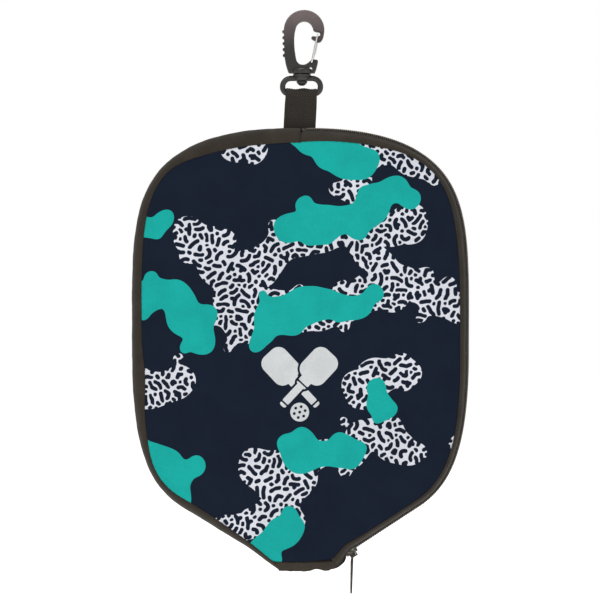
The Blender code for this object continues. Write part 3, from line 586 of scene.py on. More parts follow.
class Nodes:
    """A material and short ways to add its nodes."""

    def __init__(self, name):
        self.material = bpy.data.materials.new(name)
        self.material.use_nodes = True
        self.tree = self.material.node_tree
        self.shader = self.tree.nodes["Principled BSDF"]

    def add(self, kind, **props):
        node = self.tree.nodes.new(kind)
        for key, value in props.items():
            setattr(node, key, value)
        return node

    def feed(self, socket, value):
        if isinstance(value, bpy.types.NodeSocket):
            self.tree.links.new(value, socket)
        elif value is not None:
            socket.default_value = value

    def coord(self, scale=(1, 1, 1)):
        coords = self.add("ShaderNodeTexCoord")
        mapping = self.add("ShaderNodeMapping")
        mapping.inputs["Scale"].default_value = scale
        self.feed(mapping.inputs["Vector"], coords.outputs["Object"])
        return mapping.outputs["Vector"]

    def axes(self):
        """Object coordinates as separate X, Y and Z outputs."""
        coords = self.add("ShaderNodeTexCoord")
        split = self.add("ShaderNodeSeparateXYZ")
        self.feed(split.inputs[0], coords.outputs["Object"])
        return split.outputs

    def noise(self, scale, detail, roughness=0.55, vector=None):
        node = self.add("ShaderNodeTexNoise")
        node.inputs["Scale"].default_value = scale
        node.inputs["Detail"].default_value = detail
        node.inputs["Roughness"].default_value = roughness
        self.feed(node.inputs["Vector"], vector or self.coord())
        return node.outputs["Fac"]

    def math(self, operation, a, b=None):
        node = self.add("ShaderNodeMath", operation=operation)
        for socket, value in zip(node.inputs, (a, b)):
            self.feed(socket, value)
        return node.outputs[0]

    def ramp(self, value, span, to=(0.0, 1.0)):
        """Smooth step of a value across a span onto another."""
        node = self.add("ShaderNodeMapRange", interpolation_type="SMOOTHSTEP")
        for key, number in zip(("From Min", "From Max", "To Min", "To Max"), (*span, *to)):
            node.inputs[key].default_value = number
        self.feed(node.inputs["Value"], value)
        return node.outputs["Result"]

    def patches(self, scale, detail, span, to):
        return self.ramp(self.noise(scale, detail), span, to)

    def mix(self, factor, a, b, blend="MIX"):
        node = self.add("ShaderNodeMix", data_type="RGBA", blend_type=blend)
        for k, value in ((0, factor), (6, a), (7, b)):
            self.feed(node.inputs[k], value)
        return node.outputs[2]

    def shaded(self, color, value):
        """A colour multiplied by a grey value."""
        grey = self.add("ShaderNodeCombineColor")
        for socket in grey.inputs[:3]:
            self.feed(socket, value)
        return self.mix(1.0, color, grey.outputs[0], "MULTIPLY")

    def painted_crevice_shade(self, color, reach, floor):
        """Painted shade: darkens a colour towards floor where other surface lies within reach, in
        mm.
        """
        occlusion = self.add("ShaderNodeAmbientOcclusion")
        occlusion.samples = 6
        occlusion.inputs["Distance"].default_value = reach * MM
        return self.shaded(color, self.ramp(occlusion.outputs["AO"], (0.3, 0.95), (floor, 1.0)))

    def attribute(self, name):
        return self.add("ShaderNodeAttribute", attribute_name=name).outputs["Fac"]

    def bump(self, height, distance, strength, normal=None):
        node = self.add("ShaderNodeBump")
        node.inputs["Strength"].default_value = strength
        node.inputs["Distance"].default_value = distance
        self.feed(node.inputs["Height"], height)
        self.feed(node.inputs["Normal"], normal)
        return node.outputs["Normal"]

    def knit(self, wale):
        """Height of fine jersey loops: columns of slanted stitches, wale mm apart."""
        axes = self.axes()
        rate = 2 * math.pi / (wale * MM)
        zigzag = self.math("ABSOLUTE", self.math("SINE", self.math("MULTIPLY", axes["X"], rate)))
        rise = self.math("MULTIPLY", axes["Z"], rate * 1.25)
        rows = self.math("SINE", self.math("ADD", rise, self.math("MULTIPLY", zigzag, 2.2)))
        half_rows = self.math("MULTIPLY", rows, 0.5)
        return self.math("ADD", half_rows, self.math("MULTIPLY", zigzag, 0.5))

    def finish(self, color, roughness, normal=None, metal=None, specular=None, sheen=None):
        for key, value in (
            ("Base Color", color),
            ("Roughness", roughness),
            ("Metallic", metal),
            ("Specular IOR Level", specular),
            ("Sheen Weight", sheen),
            ("Normal", normal),
        ):
            self.feed(self.shader.inputs[key], value)
        return self.material


def print_material():
    """Jersey printed with the camouflage and the badge, read from the face's fields."""
    n = Nodes("printed_jersey")
    edge, stroke_edge = (-0.10, 0.10), (-0.12, 0.12)  # width of the print's edges, mm
    teal = n.ramp(n.attribute("f_teal"), edge)
    light = n.ramp(n.attribute("f_light"), edge)
    strokes = n.ramp(n.attribute("f_worm"), stroke_edge)
    badge = n.ramp(n.attribute("f_icon"), edge)
    navy_color, teal_color, painted_highlight_color = srgb(19, 27, 42), srgb(22, 160, 152), srgb(208, 210, 218)
    color = n.mix(n.math("MULTIPLY", light, strokes), navy_color, painted_highlight_color)
    color = n.mix(teal, color, teal_color)
    color = n.mix(badge, color, srgb(200, 203, 204))
    mottled = n.patches(scale=55, detail=4, span=(0.3, 0.7), to=(0.94, 1.05))
    fine = n.patches(scale=1400, detail=2, span=(0.25, 0.75), to=(0.93, 1.06))
    color = n.shaded(color, n.math("MULTIPLY", mottled, fine))
    normal = n.bump(n.knit(wale=0.95), distance=0.00005, strength=0.35)
    soft = n.noise(scale=240, detail=3)
    normal = n.bump(soft, distance=0.0003, strength=0.12, normal=normal)
    return n.finish(color, roughness=0.88, normal=normal, specular=0.08, sheen=0.02)


def jersey_material(name, color, specular, wale=0.9):
    n = Nodes(name)
    broad = n.patches(scale=70, detail=4, span=(0.3, 0.7), to=(0.86, 1.12))
    fine = n.patches(scale=1500, detail=2, span=(0.25, 0.75), to=(0.86, 1.12))
    color = n.shaded(color, n.math("MULTIPLY", broad, fine))
    # Painted shade in the jersey's seams and creases.
    color = n.painted_crevice_shade(color, reach=1.6, floor=0.5)
    normal = n.bump(n.knit(wale), distance=0.00007, strength=0.5)
    soft = n.noise(scale=300, detail=4)
    normal = n.bump(soft, distance=0.0004, strength=0.2, normal=normal)
    roughness = n.patches(scale=120, detail=2, span=(0.2, 0.8), to=(0.78, 0.94))
    return n.finish(color, roughness, normal, specular=specular, sheen=0.06)


def foam_material():
    n = Nodes("neoprene_core")
    cells = n.add("ShaderNodeTexVoronoi")
    cells.inputs["Scale"].default_value = 2600
    n.feed(cells.inputs["Vector"], n.coord())
    depth = cells.outputs["Distance"]
    normal = n.bump(depth, distance=0.0002, strength=0.5)
    # Cell pits painted darker: painted shade.
    color = n.mix(n.ramp(depth, span=(0.0, 0.6)), srgb(22, 22, 23), srgb(44, 43, 43))
    return n.finish(color, roughness=0.9, normal=normal, specular=0.2)


def webbing_material(name, color, paint_weave_shade=False):
    n = Nodes(name)
    shade = n.patches(scale=900, detail=3, span=(0.25, 0.75), to=(0.8, 1.15))
    if paint_weave_shade:
        # Painted shade and highlight: darker in the weave's hollows, lighter on its crests.
        weave = n.ramp(n.attribute("f_weave"), span=(-0.1, 0.9), to=(0.55, 1.5))
        shade = n.math("MULTIPLY", shade, weave)
    # Painted shade where the webbing folds close on itself and the ring.
    color = n.painted_crevice_shade(n.shaded(color, shade), reach=0.9, floor=0.55)
    stretched = n.coord(scale=(1, 1, 0.25))
    fibres = n.noise(scale=2400, detail=3, roughness=0.6, vector=stretched)
    normal = n.bump(fibres, distance=0.0001, strength=0.5)
    return n.finish(color, roughness=0.72, normal=normal, specular=0.3, sheen=0.05)


def plastic_material(name, color, roughness, floor, painted_highlight_span=None, painted_highlight_color=None):
    """Plastic; with a highlight span it is painted paler between those two heights, in mm: a
    painted highlight on its top, broken up in patches.
    """
    n = Nodes(name)
    if painted_highlight_span:
        # Painted highlight: paler towards the top, in patches.
        rise = n.ramp(n.axes()["Z"], span=(painted_highlight_span[0] * MM, painted_highlight_span[1] * MM))
        highlight_patches = n.patches(scale=90, detail=3, span=(0.25, 0.75), to=(0.8, 1.0))
        color = n.mix(n.math("MULTIPLY", rise, highlight_patches), color, painted_highlight_color)
    shade = n.patches(scale=60, detail=3, span=(0.3, 0.7), to=(0.9, 1.1))
    # Painted shade in the plastic's creases and joints.
    color = n.painted_crevice_shade(n.shaded(color, shade), reach=1.1, floor=floor)
    rough_span = (roughness - 0.05, roughness + 0.1)
    rough = n.patches(scale=140, detail=4, span=(0.25, 0.75), to=rough_span)
    normal = n.bump(n.noise(scale=1300, detail=3), distance=0.00006, strength=0.25)
    return n.finish(color, rough, normal, specular=0.5)


def metal_material(name, color, roughness, wear_and_highlight=None):
    """Metal; with a wear colour its edges are painted paler in spots, partly as rubbed wear and
    partly as a painted highlight, and its corners get painted shade.
    """
    n = Nodes(name)
    rough_span = (roughness - 0.06, roughness + 0.12)
    rough = n.patches(scale=500, detail=4, span=(0.25, 0.75), to=rough_span)
    if wear_and_highlight:
        geometry = n.add("ShaderNodeNewGeometry")
        edges = n.ramp(geometry.outputs["Pointiness"], span=(0.515, 0.58))
        spots = n.patches(scale=420, detail=3, span=(0.46, 0.66), to=(0.0, 1.0))
        # Edges painted paler in spots, as rubbed wear and painted highlight; below, the corners
        # get painted shade.
        color = n.mix(n.math("MULTIPLY", edges, spots), color, wear_and_highlight)
        color = n.painted_crevice_shade(color, reach=0.9, floor=0.35)
    normal = n.bump(n.noise(scale=1800, detail=3), distance=0.00004, strength=0.2)
    return n.finish(color, rough, normal, metal=1.0)


PRINT = print_material()
BAND = jersey_material("edge_jersey", srgb(45, 39, 31), specular=0.25)
BACK = jersey_material("back_jersey", srgb(38, 37, 38), specular=0.2)
LINING = jersey_material("lining_jersey", srgb(30, 30, 32), specular=0.15, wale=1.1)
FOAM = foam_material()
BINDING = jersey_material("mouth_binding", srgb(54, 48, 40), specular=0.22)
TAPE = webbing_material("zip_tape_weave", srgb(40, 36, 31))
COIL = plastic_material("zip_coil_nylon", srgb(122, 112, 101), roughness=0.42, floor=0.8)
WEBBING = webbing_material("strap_weave", srgb(44, 38, 30), paint_weave_shade=True)
HOOK = plastic_material(
    "hook_acetal",
    srgb(38, 34, 31),
    roughness=0.33,
    floor=0.3,
    # Painted highlight on the hook's top.
    painted_highlight_span=(203.0, 232.0),
    painted_highlight_color=srgb(104, 92, 92),
)
STEEL = metal_material("gate_steel", (0.72, 0.71, 0.69, 1), roughness=0.2)
# Black zinc: edges painted paler as wear and painted highlight.
ZINC = metal_material("zip_black_zinc", srgb(66, 61, 56), 0.36, wear_and_highlight=srgb(150, 143, 133))


# ---------------------------------------------------------------------------
# Panels
# ---------------------------------------------------------------------------
def inflate():
    """The padded body as one coarse closed cover, held along its seams and blown up, so its
    faces settle into the soft swells of a stuffed sleeve. Returns the cover's points and
    how far the front and back moved outwards there."""
    panel = make_panel(5.0, OUTER_SEAM)
    count = len(panel.points)
    start = np.vstack([lifted(panel.points, sign * panel.height) for sign in (-1, 1)])
    faces = panel.faces + [[v + count for v in face[::-1]] for face in panel.faces]
    faces += [[b, a, a + count, b + count] for a, b in panel.rim]
    ob = fix_normals(new_object("inflated_cover", start, faces), weld=False)
    held = sorted({i for edge in panel.rim for i in edge})
    seam = ob.vertex_groups.new(name="seam")
    seam.add(held + [i + count for i in held], 1.0, "REPLACE")
    cloth = ob.modifiers.new("cover", "CLOTH")
    settings = cloth.settings
    settings.quality = 6
    settings.mass = 0.3
    settings.tension_stiffness = settings.compression_stiffness = 12
    settings.shear_stiffness = 4
    settings.bending_stiffness = 1.0
    settings.vertex_group_mass = "seam"
    settings.use_pressure = True
    settings.uniform_pressure_force = 4
    settings.shrink_min = -0.02
    settings.effector_weights.gravity = 0
    cloth.collision_settings.use_collision = False
    last_frame = 20
    cloth.point_cache.frame_start, cloth.point_cache.frame_end = 1, last_frame
    for k in range(1, last_frame + 1):
        SCENE.frame_set(k)
    mesh = ob.evaluated_get(bpy.context.evaluated_depsgraph_get()).to_mesh()
    places = np.empty(len(mesh.vertices) * 3, np.float32)
    mesh.vertices.foreach_get("co", places)
    moved = places.reshape(-1, 3)[:, 1] / MM - start[:, 1]
    bpy.data.objects.remove(ob, do_unlink=True)
    SCENE.frame_set(1)
    out = np.stack([-moved[:count], moved[count:]])
    # Scale the movement so nearly all of it lies within 1.1 mm.
    scale = 1.1 / max(1e-6, np.percentile(np.abs(out), 95))
    return panel.points, np.clip(out * scale, -0.8, 1.3)


COVER_POINTS, PUFF = inflate()
COVER_TREE = plane_tree(COVER_POINTS)


def puff(points, face):
    """The cover's movement at any points, evened over its nearest corners."""
    out = np.zeros(len(points))
    for i, (x, z) in enumerate(points):
        near = COVER_TREE.find_n((x, z, 0), 9)
        weights = [math.exp(-((found[2] / 4.2) ** 2)) for found in near]
        total = sum(a * PUFF[face][found[1]] for a, found in zip(weights, near))
        out[i] = total / sum(weights)
    return out


def relief(points, past_seam, seed):
    """Soft unevenness of padded fabric: broad waves, and small puckers that die out away
    from the seam."""
    waves = smooth_noise(points, 46, seed) * 0.16 + smooth_noise(points, 21, seed + 1) * 0.10
    edge = np.exp(-np.clip(past_seam, 0, None) / 5.0)
    waves += smooth_noise(points, 5.5, seed + 2) * 0.16 * edge
    return waves * ease((past_seam + 1.5) / 6.0) - 0.30


def skin_height(panel, seed, face):
    """Height of an outer skin, turned down into its seam and in under the mouth binding."""
    past_seam = panel.distance - panel.width
    seam_dip = -0.9 * (1 - ease((past_seam + 1.2) / 3.0)) ** 1.5
    mouth_dip = -0.9 * (1 - ease((panel.points[:, 1] - FACE_END_Z + 0.6) / 2.4)) ** 1.3
    swell = puff(panel.points, face) * ease(past_seam / 6.0)
    return panel.height + relief(panel.points, past_seam, seed) + seam_dip + swell + mouth_dip


def outer_skin(name, cell, seed, face, material, sign):
    panel = make_panel(cell, OUTER_SEAM)
    height = skin_height(panel, seed, face)
    return sheet_object(name, panel, height, height - 0.7, material, False, sign)


def inner_skins(where, seed, sign, body, parts):
    """Foam core and lining behind one outer skin."""
    height, points = INNER_PANEL.height, INNER_PANEL.points
    core = sheet_object(
        where + "_foam_core", INNER_PANEL, height - 1.0, height - 2.7, FOAM, True, sign
    )
    declare(core, "foam", body, *[part + "_foam" for part in parts])
    inside = height - 3.5 + smooth_noise(points, 30, seed) * 0.1
    lining = sheet_object(
        where + "_lining_skin", INNER_PANEL, height - 2.9, inside, LINING, True, sign
    )
    declare(lining, "lining", body, *[part + "_lining" for part in parts])


def add_print_fields(ob):
    """Writes the camouflage, stroke and badge fields that the print material reads."""
    places = [(v.co.x, v.co.z) for v in ob.data.vertices]
    points = np.array(places) / MM
    teal_shapes, light_shapes = camo_layout()
    light = blot_field(points, light_shapes)
    near = light > -1.5
    strokes = scatter_strokes(
        np.array((-125.0, -150.0)),
        np.array((125.0, 150.0)),
        lambda starts: blot_field(starts, light_shapes) > -3.0,
    )
    ground = np.full(len(points), -1.0)
    ground[near] = stroke_field(points[near], strokes)
    set_float(ob, "f_teal", blot_field(points, teal_shapes))
    set_float(ob, "f_light", light)
    set_float(ob, "f_worm", ground)
    set_float(ob, "f_icon", badge_field(points))


INNER_PANEL = make_panel(2.5, INNER_SEAM)

front = outer_skin("front_printed_face", 0.8, 11, 0, PRINT, -1)
add_print_fields(front)
declare(front, "printed_knit", FLAP, "front_fixed_knit", "front_flap_knit")
inner_skins("front", 5, -1, FLAP, ("front_fixed", "front_flap"))

back = outer_skin("back_face", 1.6, 31, 1, BACK, 1)
declare(back, "printed_knit", "root", "back_knit")
inner_skins("back", 6, 1, "root", ("back",))


# ---------------------------------------------------------------------------
# Edge bands
# ---------------------------------------------------------------------------
def rise_angle(height, radius):
    return math.asin(max(-1, min(1, height / radius)))


def band_section(low, high, outer_count, inner_count, pucker, seed, inset=lambda run: 0.0):
    """Rolled neoprene wall between two heights, a little uneven along the run. pucker is
    the strength of the puckers at the low and high ends; inset(run) shifts it in."""

    def section(width, run):
        shift = inset(run) * min(1.0, width / 6.5)
        width = width - shift
        inner_width = width - BAND_THICK * min(1.0, width / 6.5)
        inner_half = EDGE_HALF - BAND_THICK
        start, end = rise_angle(low, EDGE_HALF), rise_angle(high, EDGE_HALF)
        outer = np.linspace(start, end, outer_count)
        wobble = 0.0
        for k, (wave, size) in enumerate(((31, 0.16), (13, 0.09), (6.2, 0.05))):
            phase = 2 * math.pi * run / wave + seed * 1.7 + k * 2.1
            wobble = wobble + size * np.sin(phase + outer * (1.5 + k))
        near_seam = np.exp(-np.abs(outer - start) * 9.0) * pucker[0]
        near_seam = near_seam + np.exp(-np.abs(end - outer) * 9.0) * pucker[1]
        folds = 0.22 * np.sin(2 * math.pi * run / 4.3 + seed + 0.8 * math.sin(run / 9.0))
        grow = wobble * 0.6 + (folds - 0.35) * near_seam - 0.1
        inner = np.linspace(rise_angle(high, inner_half), rise_angle(low, inner_half), inner_count)
        outer_depth = width - (width + grow * 0.8) * np.cos(outer)
        depth = np.concatenate([outer_depth, width - inner_width * np.cos(inner)])
        height = [(EDGE_HALF + grow) * np.sin(outer), inner_half * np.sin(inner)]
        return np.stack([depth + shift, np.concatenate(height)], 1)

    return section


ZIP_INSET = 1.9


def back_inset(run):
    """The back band moves outwards again just before the mouth."""
    return ZIP_INSET - 3.6 * float(ease((run - ZIP_SIDE.total + 21.0) / 10.0))


closed_section = band_section(-EDGE_HALF, EDGE_HALF, 30, 12, (1, 1), seed=0.3)
band = tube_grid("closed_side_band", path_rows(CLOSED_SIDE, closed_section), BAND)
declare(band, "edge_band", "root", "band_closed_side")

front_section = band_section(
    -EDGE_HALF, -ZIP_HALF, 16, 8, (1, 0.4), seed=2.2, inset=lambda run: ZIP_INSET
)
front_rows = path_rows(ZIP_SIDE, front_section, 0.02, ZIP_SIDE.total - 2.2)
band = tube_grid("zip_side_band_front", front_rows, BAND)
declare(band, "edge_band", FLAP, "band_zip_front")

back_section = band_section(ZIP_HALF, EDGE_HALF, 16, 8, (0.4, 1), seed=4.1, inset=back_inset)
band = tube_grid("zip_side_band_back", path_rows(ZIP_SIDE, back_section, 0.02), BAND)
declare(band, "edge_band", "root", "band_zip_back")


# ---------------------------------------------------------------------------
# Zip: tapes, coil turns, stops and slider body
# ---------------------------------------------------------------------------
# The slider stands on the line from neck to hip.
SLIDER_X = 34.5
SLIDER_SHARE = (SLIDER_X - ZIP_NECK[0]) / (HIP[0] - ZIP_NECK[0])
SLIDER_AT = np.array(ZIP_NECK) + (np.array(HIP) - np.array(ZIP_NECK)) * SLIDER_SHARE
SLIDER_RUN = float(ZIP_FINE.run[np.argmin(np.hypot(*(ZIP_FINE.points - SLIDER_AT).T))])


def tape_section(sign):
    def section(width, run):
        y = np.linspace(1.2, 5.6, 12)
        under = np.interp(y, (1.2, 3.9, 4.4, 4.9, 5.6), (0.0, 0.0, 0.15, 0.85, 2.05))
        under = under * min(1.0, width / 6.5)
        lift = 0.12 * np.sin(y * 5.5)
        outer = np.stack([1.85 + under - 0.05 * lift, sign * y], 1)
        inner = np.stack([2.4 + under, sign * y], 1)[::-1]
        return np.vstack([outer, inner])

    return section


def coil_rows(sign, shift):
    """One side's nylon turns: a flattened helix whose heads reach past the middle to mesh
    with the other side's."""
    pitch, wire, sides = 1.4, 0.37, 6
    start, end = 1.0, SLIDER_RUN + 0.6
    per_turn = 12
    turn = np.arange(int((end - start) / pitch) * per_turn + 1) / per_turn
    cos, sin = np.cos(2 * math.pi * turn), np.sin(2 * math.pi * turn)
    height = 1.2 + 1.45 * np.sign(cos) * np.abs(cos) ** 0.8
    depth = 0.85 + 0.55 * np.sign(sin) * np.abs(sin) ** 0.75
    head = np.clip((0.3 - height) / 0.9, 0, 1)
    place, inward = along(ZIP_FINE, start + turn * pitch + shift + 0.12 * sin)
    centre = lifted(place + inward * depth[:, None], sign * height)
    tangent = unit_rows(np.gradient(centre, axis=0))
    reference = np.stack([-inward[:, 1], 0 * inward[:, 0], inward[:, 0]], 1)
    across = unit_rows(np.cross(tangent, reference))
    other = np.cross(tangent, across)
    angle = (np.arange(sides) * 2 * math.pi / sides)[None, :, None]
    ring = across[:, None, :] * np.cos(angle) + other[:, None, :] * np.sin(angle)
    return centre[:, None, :] + ring * (wire * (1 + 0.35 * head))[:, None, None]


for where, sign, body, shift in (("front", -1, FLAP, 0.0), ("back", 1, "root", 0.7)):
    rows = path_rows(ZIP_SIDE, tape_section(sign), 1.2, ZIP_SIDE.total - 1.0)
    tape = tube_grid("zip_tape_woven_" + where, rows, TAPE)
    declare(tape, "zip_tape", body, "zip_tape_" + where)
    turns = tube_grid("zip_coil_turns_" + where, coil_rows(sign, shift), COIL)
    declare(turns, "zip_coil", body, "zip_coil_" + where)

# Stops and slider are the frame's own pieces, with softened edges.
for name in ("zip_start_stop", "zip_end_stop_front", "zip_end_stop_back", "zip_slider"):
    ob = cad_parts[name]
    ob.data.materials.clear()
    ob.data.materials.append(ZINC)
    for polygon in ob.data.polygons:
        polygon.use_smooth = False
    bevel = ob.modifiers.new("soft_edges", "BEVEL")
    bevel.width = 0.00022
    bevel.segments = 3
    bevel.limit_method = "ANGLE"
    bevel.angle_limit = math.radians(40)


# ---------------------------------------------------------------------------
# Mouth bindings
# ---------------------------------------------------------------------------
def mouth_binding(name, sign, low_span, high_span):
    """Folded strip over a panel's lower edge: a flat rounded section that follows the lip's
    curve. The spans are the x lengths of its lower and upper edges."""
    angle = 2 * math.pi * (np.arange(22) + 0.5) / 22
    cos, sin = np.cos(angle), np.sin(angle)
    across = np.copysign(np.abs(cos) ** 0.55, cos)
    up = np.copysign(np.abs(sin) ** 0.45, sin)
    rows = []
    for s in np.linspace(0, 1, 44):
        low_x, high_x = -14.4 + low_span * s, -17.0 + high_span * s
        wave = 0.16 * math.sin(s * 23) + 0.1 * math.sin(s * 51 + 1)
        low_z = -149.3 + wave * 0.6
        if sign < 0:  # a notch, and a rise towards the zip
            low_z += 1.3 * math.exp(-(((low_x - 11.4) / 3.6) ** 2))
            low_z += 2.3 * float(ease((low_x - 18.6) / 4.4))
        high_z = -143.0 + wave * 0.4 + 0.5 * float(ease((low_x - 15.0) / 7.0))
        x = low_x + (high_x - low_x) * (up + 1) / 2
        z = (low_z + high_z) / 2 + (high_z - low_z) / 2 * up
        points = np.stack([x, z], 1)
        height = panel_height(points, *edge_distance(points)) - 1.95
        height = height + across * 1.95 + 0.12 * math.sin(s * 40)
        if sign < 0:  # tucks under the zip side's band
            height -= 1.0 * ease((x - 18.8) / 3.0)
        rows.append(lifted(points, sign * height))
    return tube_grid(name, np.array(rows), BINDING)


binding = mouth_binding("mouth_binding_strip_front", -1, 37.6, 40.6)
declare(binding, "edge_band", FLAP, "mouth_binding_front")
binding = mouth_binding("mouth_binding_strip_back", 1, 35.6, 37.8)
declare(binding, "edge_band", "root", "mouth_binding_back")


# ---------------------------------------------------------------------------
# Webbing loop
# ---------------------------------------------------------------------------
STRAP_X, STRAP_HALF, STRAP_LOW_Z = 0.5, 11.0, 144.0
BAR_Z, BAR_R = 174.7, 1.9  # the ring's lower bar


def webbing():
    """One strip folded over the ring's bar, with two legs below; weave cut into the surface, with
    painted shade in its hollows and painted highlight on its crests.
    """
    thread, pick = 1.7, 1.45  # weave spacing across and along
    fold_radius, leg = BAR_R + 0.3 + 0.75, 0.80
    leg_top = BAR_Z - 9.5
    path = [(-leg, STRAP_LOW_Z), (-leg, leg_top)]
    for k in range(15):
        angle = math.radians(200 - 220 * k / 14)
        path.append((fold_radius * math.cos(angle), BAR_Z + fold_radius * math.sin(angle)))
    path = np.array(path + [(leg, leg_top), (leg, STRAP_LOW_Z)])
    lengths = np.linalg.norm(np.diff(path, axis=0), axis=1)
    reached = np.concatenate([[0], np.cumsum(lengths)])
    step = 0.3
    runs = np.arange(0, reached[-1], step)
    centre = np.stack([np.interp(runs, reached, path[:, k]) for k in (0, 1)], 1)
    for _ in range(int(2.4 / step)):  # soften the path's corners
        centre[1:-1] = (centre[:-2] + 2 * centre[1:-1] + centre[2:]) / 4
    tangent = unit_rows(np.gradient(centre, axis=0))
    xs = np.arange(-STRAP_HALF, STRAP_HALF + 0.01, step)
    edge = np.clip((STRAP_HALF - np.abs(xs)) / 0.9, 0, 1)
    body = 0.68 * np.sqrt(1 - (1 - edge) ** 2 * 0.85)
    rows, relief_shades = [], []
    for run, (y, z), (tangent_y, tangent_z) in zip(runs, centre, tangent):
        lean = -1.15 * (1 - np.clip((z - 150.0) / 22.0, 0, 1))
        narrow = 1.0 - 0.03 * ease((z - 165.0) / 12.0)
        crest = np.sin(run * math.pi / pick) ** 2
        phase = math.pi if int(run / pick) % 2 else 0
        weave = 0.16 * np.sin(xs * 2 * math.pi / thread + phase) * crest
        rib = 0.08 * crest * edge
        x = STRAP_X + lean + xs * narrow
        sag = 0.32 * np.sin(xs * 0.55 + 0.6) * ease((z - 168.0) / 7.0)

        def face(lift):
            return np.stack([x, HANG_Y + y - tangent_z * lift, z + tangent_y * lift + sag], 1)

        over, under = body + weave + rib, -(body + weave[::-1] + rib)
        rows.append(np.vstack([face(over), face(under)[::-1]]))
        # Painted shade from the weave's height: darker in hollows, lighter on crests.
        relief_shade = (weave + rib) / 0.24
        relief_shades.append(np.concatenate([relief_shade, relief_shade[::-1]]))
    ob = tube_grid("strap_webbing", np.array(rows), WEBBING, weld=False)
    set_float(ob, "f_weave", np.concatenate(relief_shades))
    return ob


strap = webbing()
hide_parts("strap_loop", "strap_tail")
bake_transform(strap)


# ---------------------------------------------------------------------------
# Solids from curves and turned profiles
# ---------------------------------------------------------------------------
def rounded(points, radii, steps):
    """Closed outline with each corner replaced by an arc of its own radius."""
    out = []
    for i, radius in enumerate(radii):
        following = points[(i + 1) % len(points)]
        corner, before, after = (np.array(p, float) for p in (points[i], points[i - 1], following))
        u, v = unit(before - corner), unit(after - corner)
        half = math.acos(np.clip(u @ v, -1, 1)) / 2
        cut = radius / math.tan(half)
        centre = corner + unit(u + v) * (radius / math.sin(half))
        start, end = corner + u * cut - centre, corner + v * cut - centre
        turn = math.acos(np.clip(unit(start) @ unit(end), -1, 1))
        for k in range(steps + 1):
            s = k / steps
            spoke = start * math.sin((1 - s) * turn) + end * math.sin(s * turn)
            out.append(centre + spoke / math.sin(turn))
    return np.array(out)


def rounded_box(half_x, first_z, last_z, radii, steps, x=0.0):
    left, right = x - half_x, x + half_x
    corners = [(left, first_z), (right, first_z), (right, last_z), (left, last_z)]
    return rounded(corners, radii, steps)


def arc(centre, radius, start, end, count):
    angles = np.radians(np.linspace(start, end, count))
    x, z = centre
    return [(x + radius * math.cos(a), z + radius * math.sin(a)) for a in angles]


def add_loop(curve, points, cyclic):
    spline = curve.splines.new("POLY")
    spline.points.add(len(points) - 1)
    for target, (x, y, z) in zip(spline.points, points):
        target.co = (x * MM, y * MM, z * MM, 1)
    spline.use_cyclic_u = cyclic


def curve_to_mesh(name, curve, material):
    temporary = bpy.data.objects.new(name + "_tmp", curve)
    SCENE.collection.objects.link(temporary)
    bpy.context.view_layer.update()
    evaluated = temporary.evaluated_get(bpy.context.evaluated_depsgraph_get())
    mesh = bpy.data.meshes.new_from_object(evaluated)
    bpy.data.objects.remove(temporary, do_unlink=True)
    bpy.data.curves.remove(curve)
    mesh.name = name
    mesh.materials.clear()
    mesh.materials.append(material)
    ob = bpy.data.objects.new(name, mesh)
    SCENE.collection.objects.link(ob)
    fix_normals(ob)
    mesh.polygons.foreach_set("use_smooth", np.ones(len(mesh.polygons), bool))
    return ob


def curve_tube(name, points, radius, material, cyclic, resolution):
    curve = bpy.data.curves.new(name, "CURVE")
    curve.dimensions = "3D"
    add_loop(curve, points, cyclic)
    curve.bevel_depth = radius * MM
    curve.bevel_resolution = resolution
    curve.use_fill_caps = not cyclic
    return curve_to_mesh(name, curve, material)


def flat_solid(name, outline, half, bevel, material, resolution=4, holes=()):
    """Plate with bevelled edges, its outline in XZ and its thickness along Y."""
    curve = bpy.data.curves.new(name, "CURVE")
    curve.dimensions = "2D"
    curve.fill_mode = "BOTH"
    curve.extrude = (half - bevel) * MM
    curve.bevel_depth = bevel * MM
    curve.bevel_resolution = resolution
    curve.offset = -bevel * MM
    for loop in (outline, *holes):
        add_loop(curve, [(x, z, 0) for x, z in loop], True)
    ob = curve_to_mesh(name, curve, material)
    ob.data.transform(Matrix(((1, 0, 0, 0), (0, 0, -1, 0), (0, 1, 0, 0), (0, 0, 0, 1))))
    return ob


def lathe(name, profile, centre, material, steps=48):
    """Turned solid about Z from rows of radius, z. A profile that starts off the axis is
    closed along its bore."""
    profile = np.array(profile, float)
    angle = np.arange(steps) * 2 * math.pi / steps
    rows = np.stack(
        [
            centre[0] + profile[None, :, 0] * np.cos(angle)[:, None],
            centre[1] + profile[None, :, 0] * np.sin(angle)[:, None],
            np.repeat(profile[None, :, 1], steps, 0),
        ],
        2,
    )
    index = np.arange(steps * len(profile)).reshape(steps, -1)
    after = np.roll(index, -1, 0)
    quads = np.stack([index[:, :-1], index[:, 1:], after[:, 1:], after[:, :-1]], -1)
    faces = quads.reshape(-1, 4).tolist()
    if profile[0, 0] > 0:
        bore = np.stack([index[:, -1], after[:, -1], after[:, 0], index[:, 0]], 1)
        faces += bore.tolist()
    return fix_normals(new_object(name, rows.reshape(-1, 3), faces, material))


# ---------------------------------------------------------------------------
# Ring and collar
# ---------------------------------------------------------------------------
SWIVEL_AXIS = (1.0, HANG_Y)
RING_TOP_Z = 185.3

ring_line = rounded_box(
    12.9, BAR_Z, RING_TOP_Z, [4.6, 4.6, 5.6, 5.6], 10, x=SWIVEL_AXIS[0] - 0.25
)
ring = curve_tube("ring_loop", [(x, HANG_Y, z) for x, z in ring_line], BAR_R, HOOK, True, 8)
declare(ring, "hook_plastic", "ring", "hook_ring")

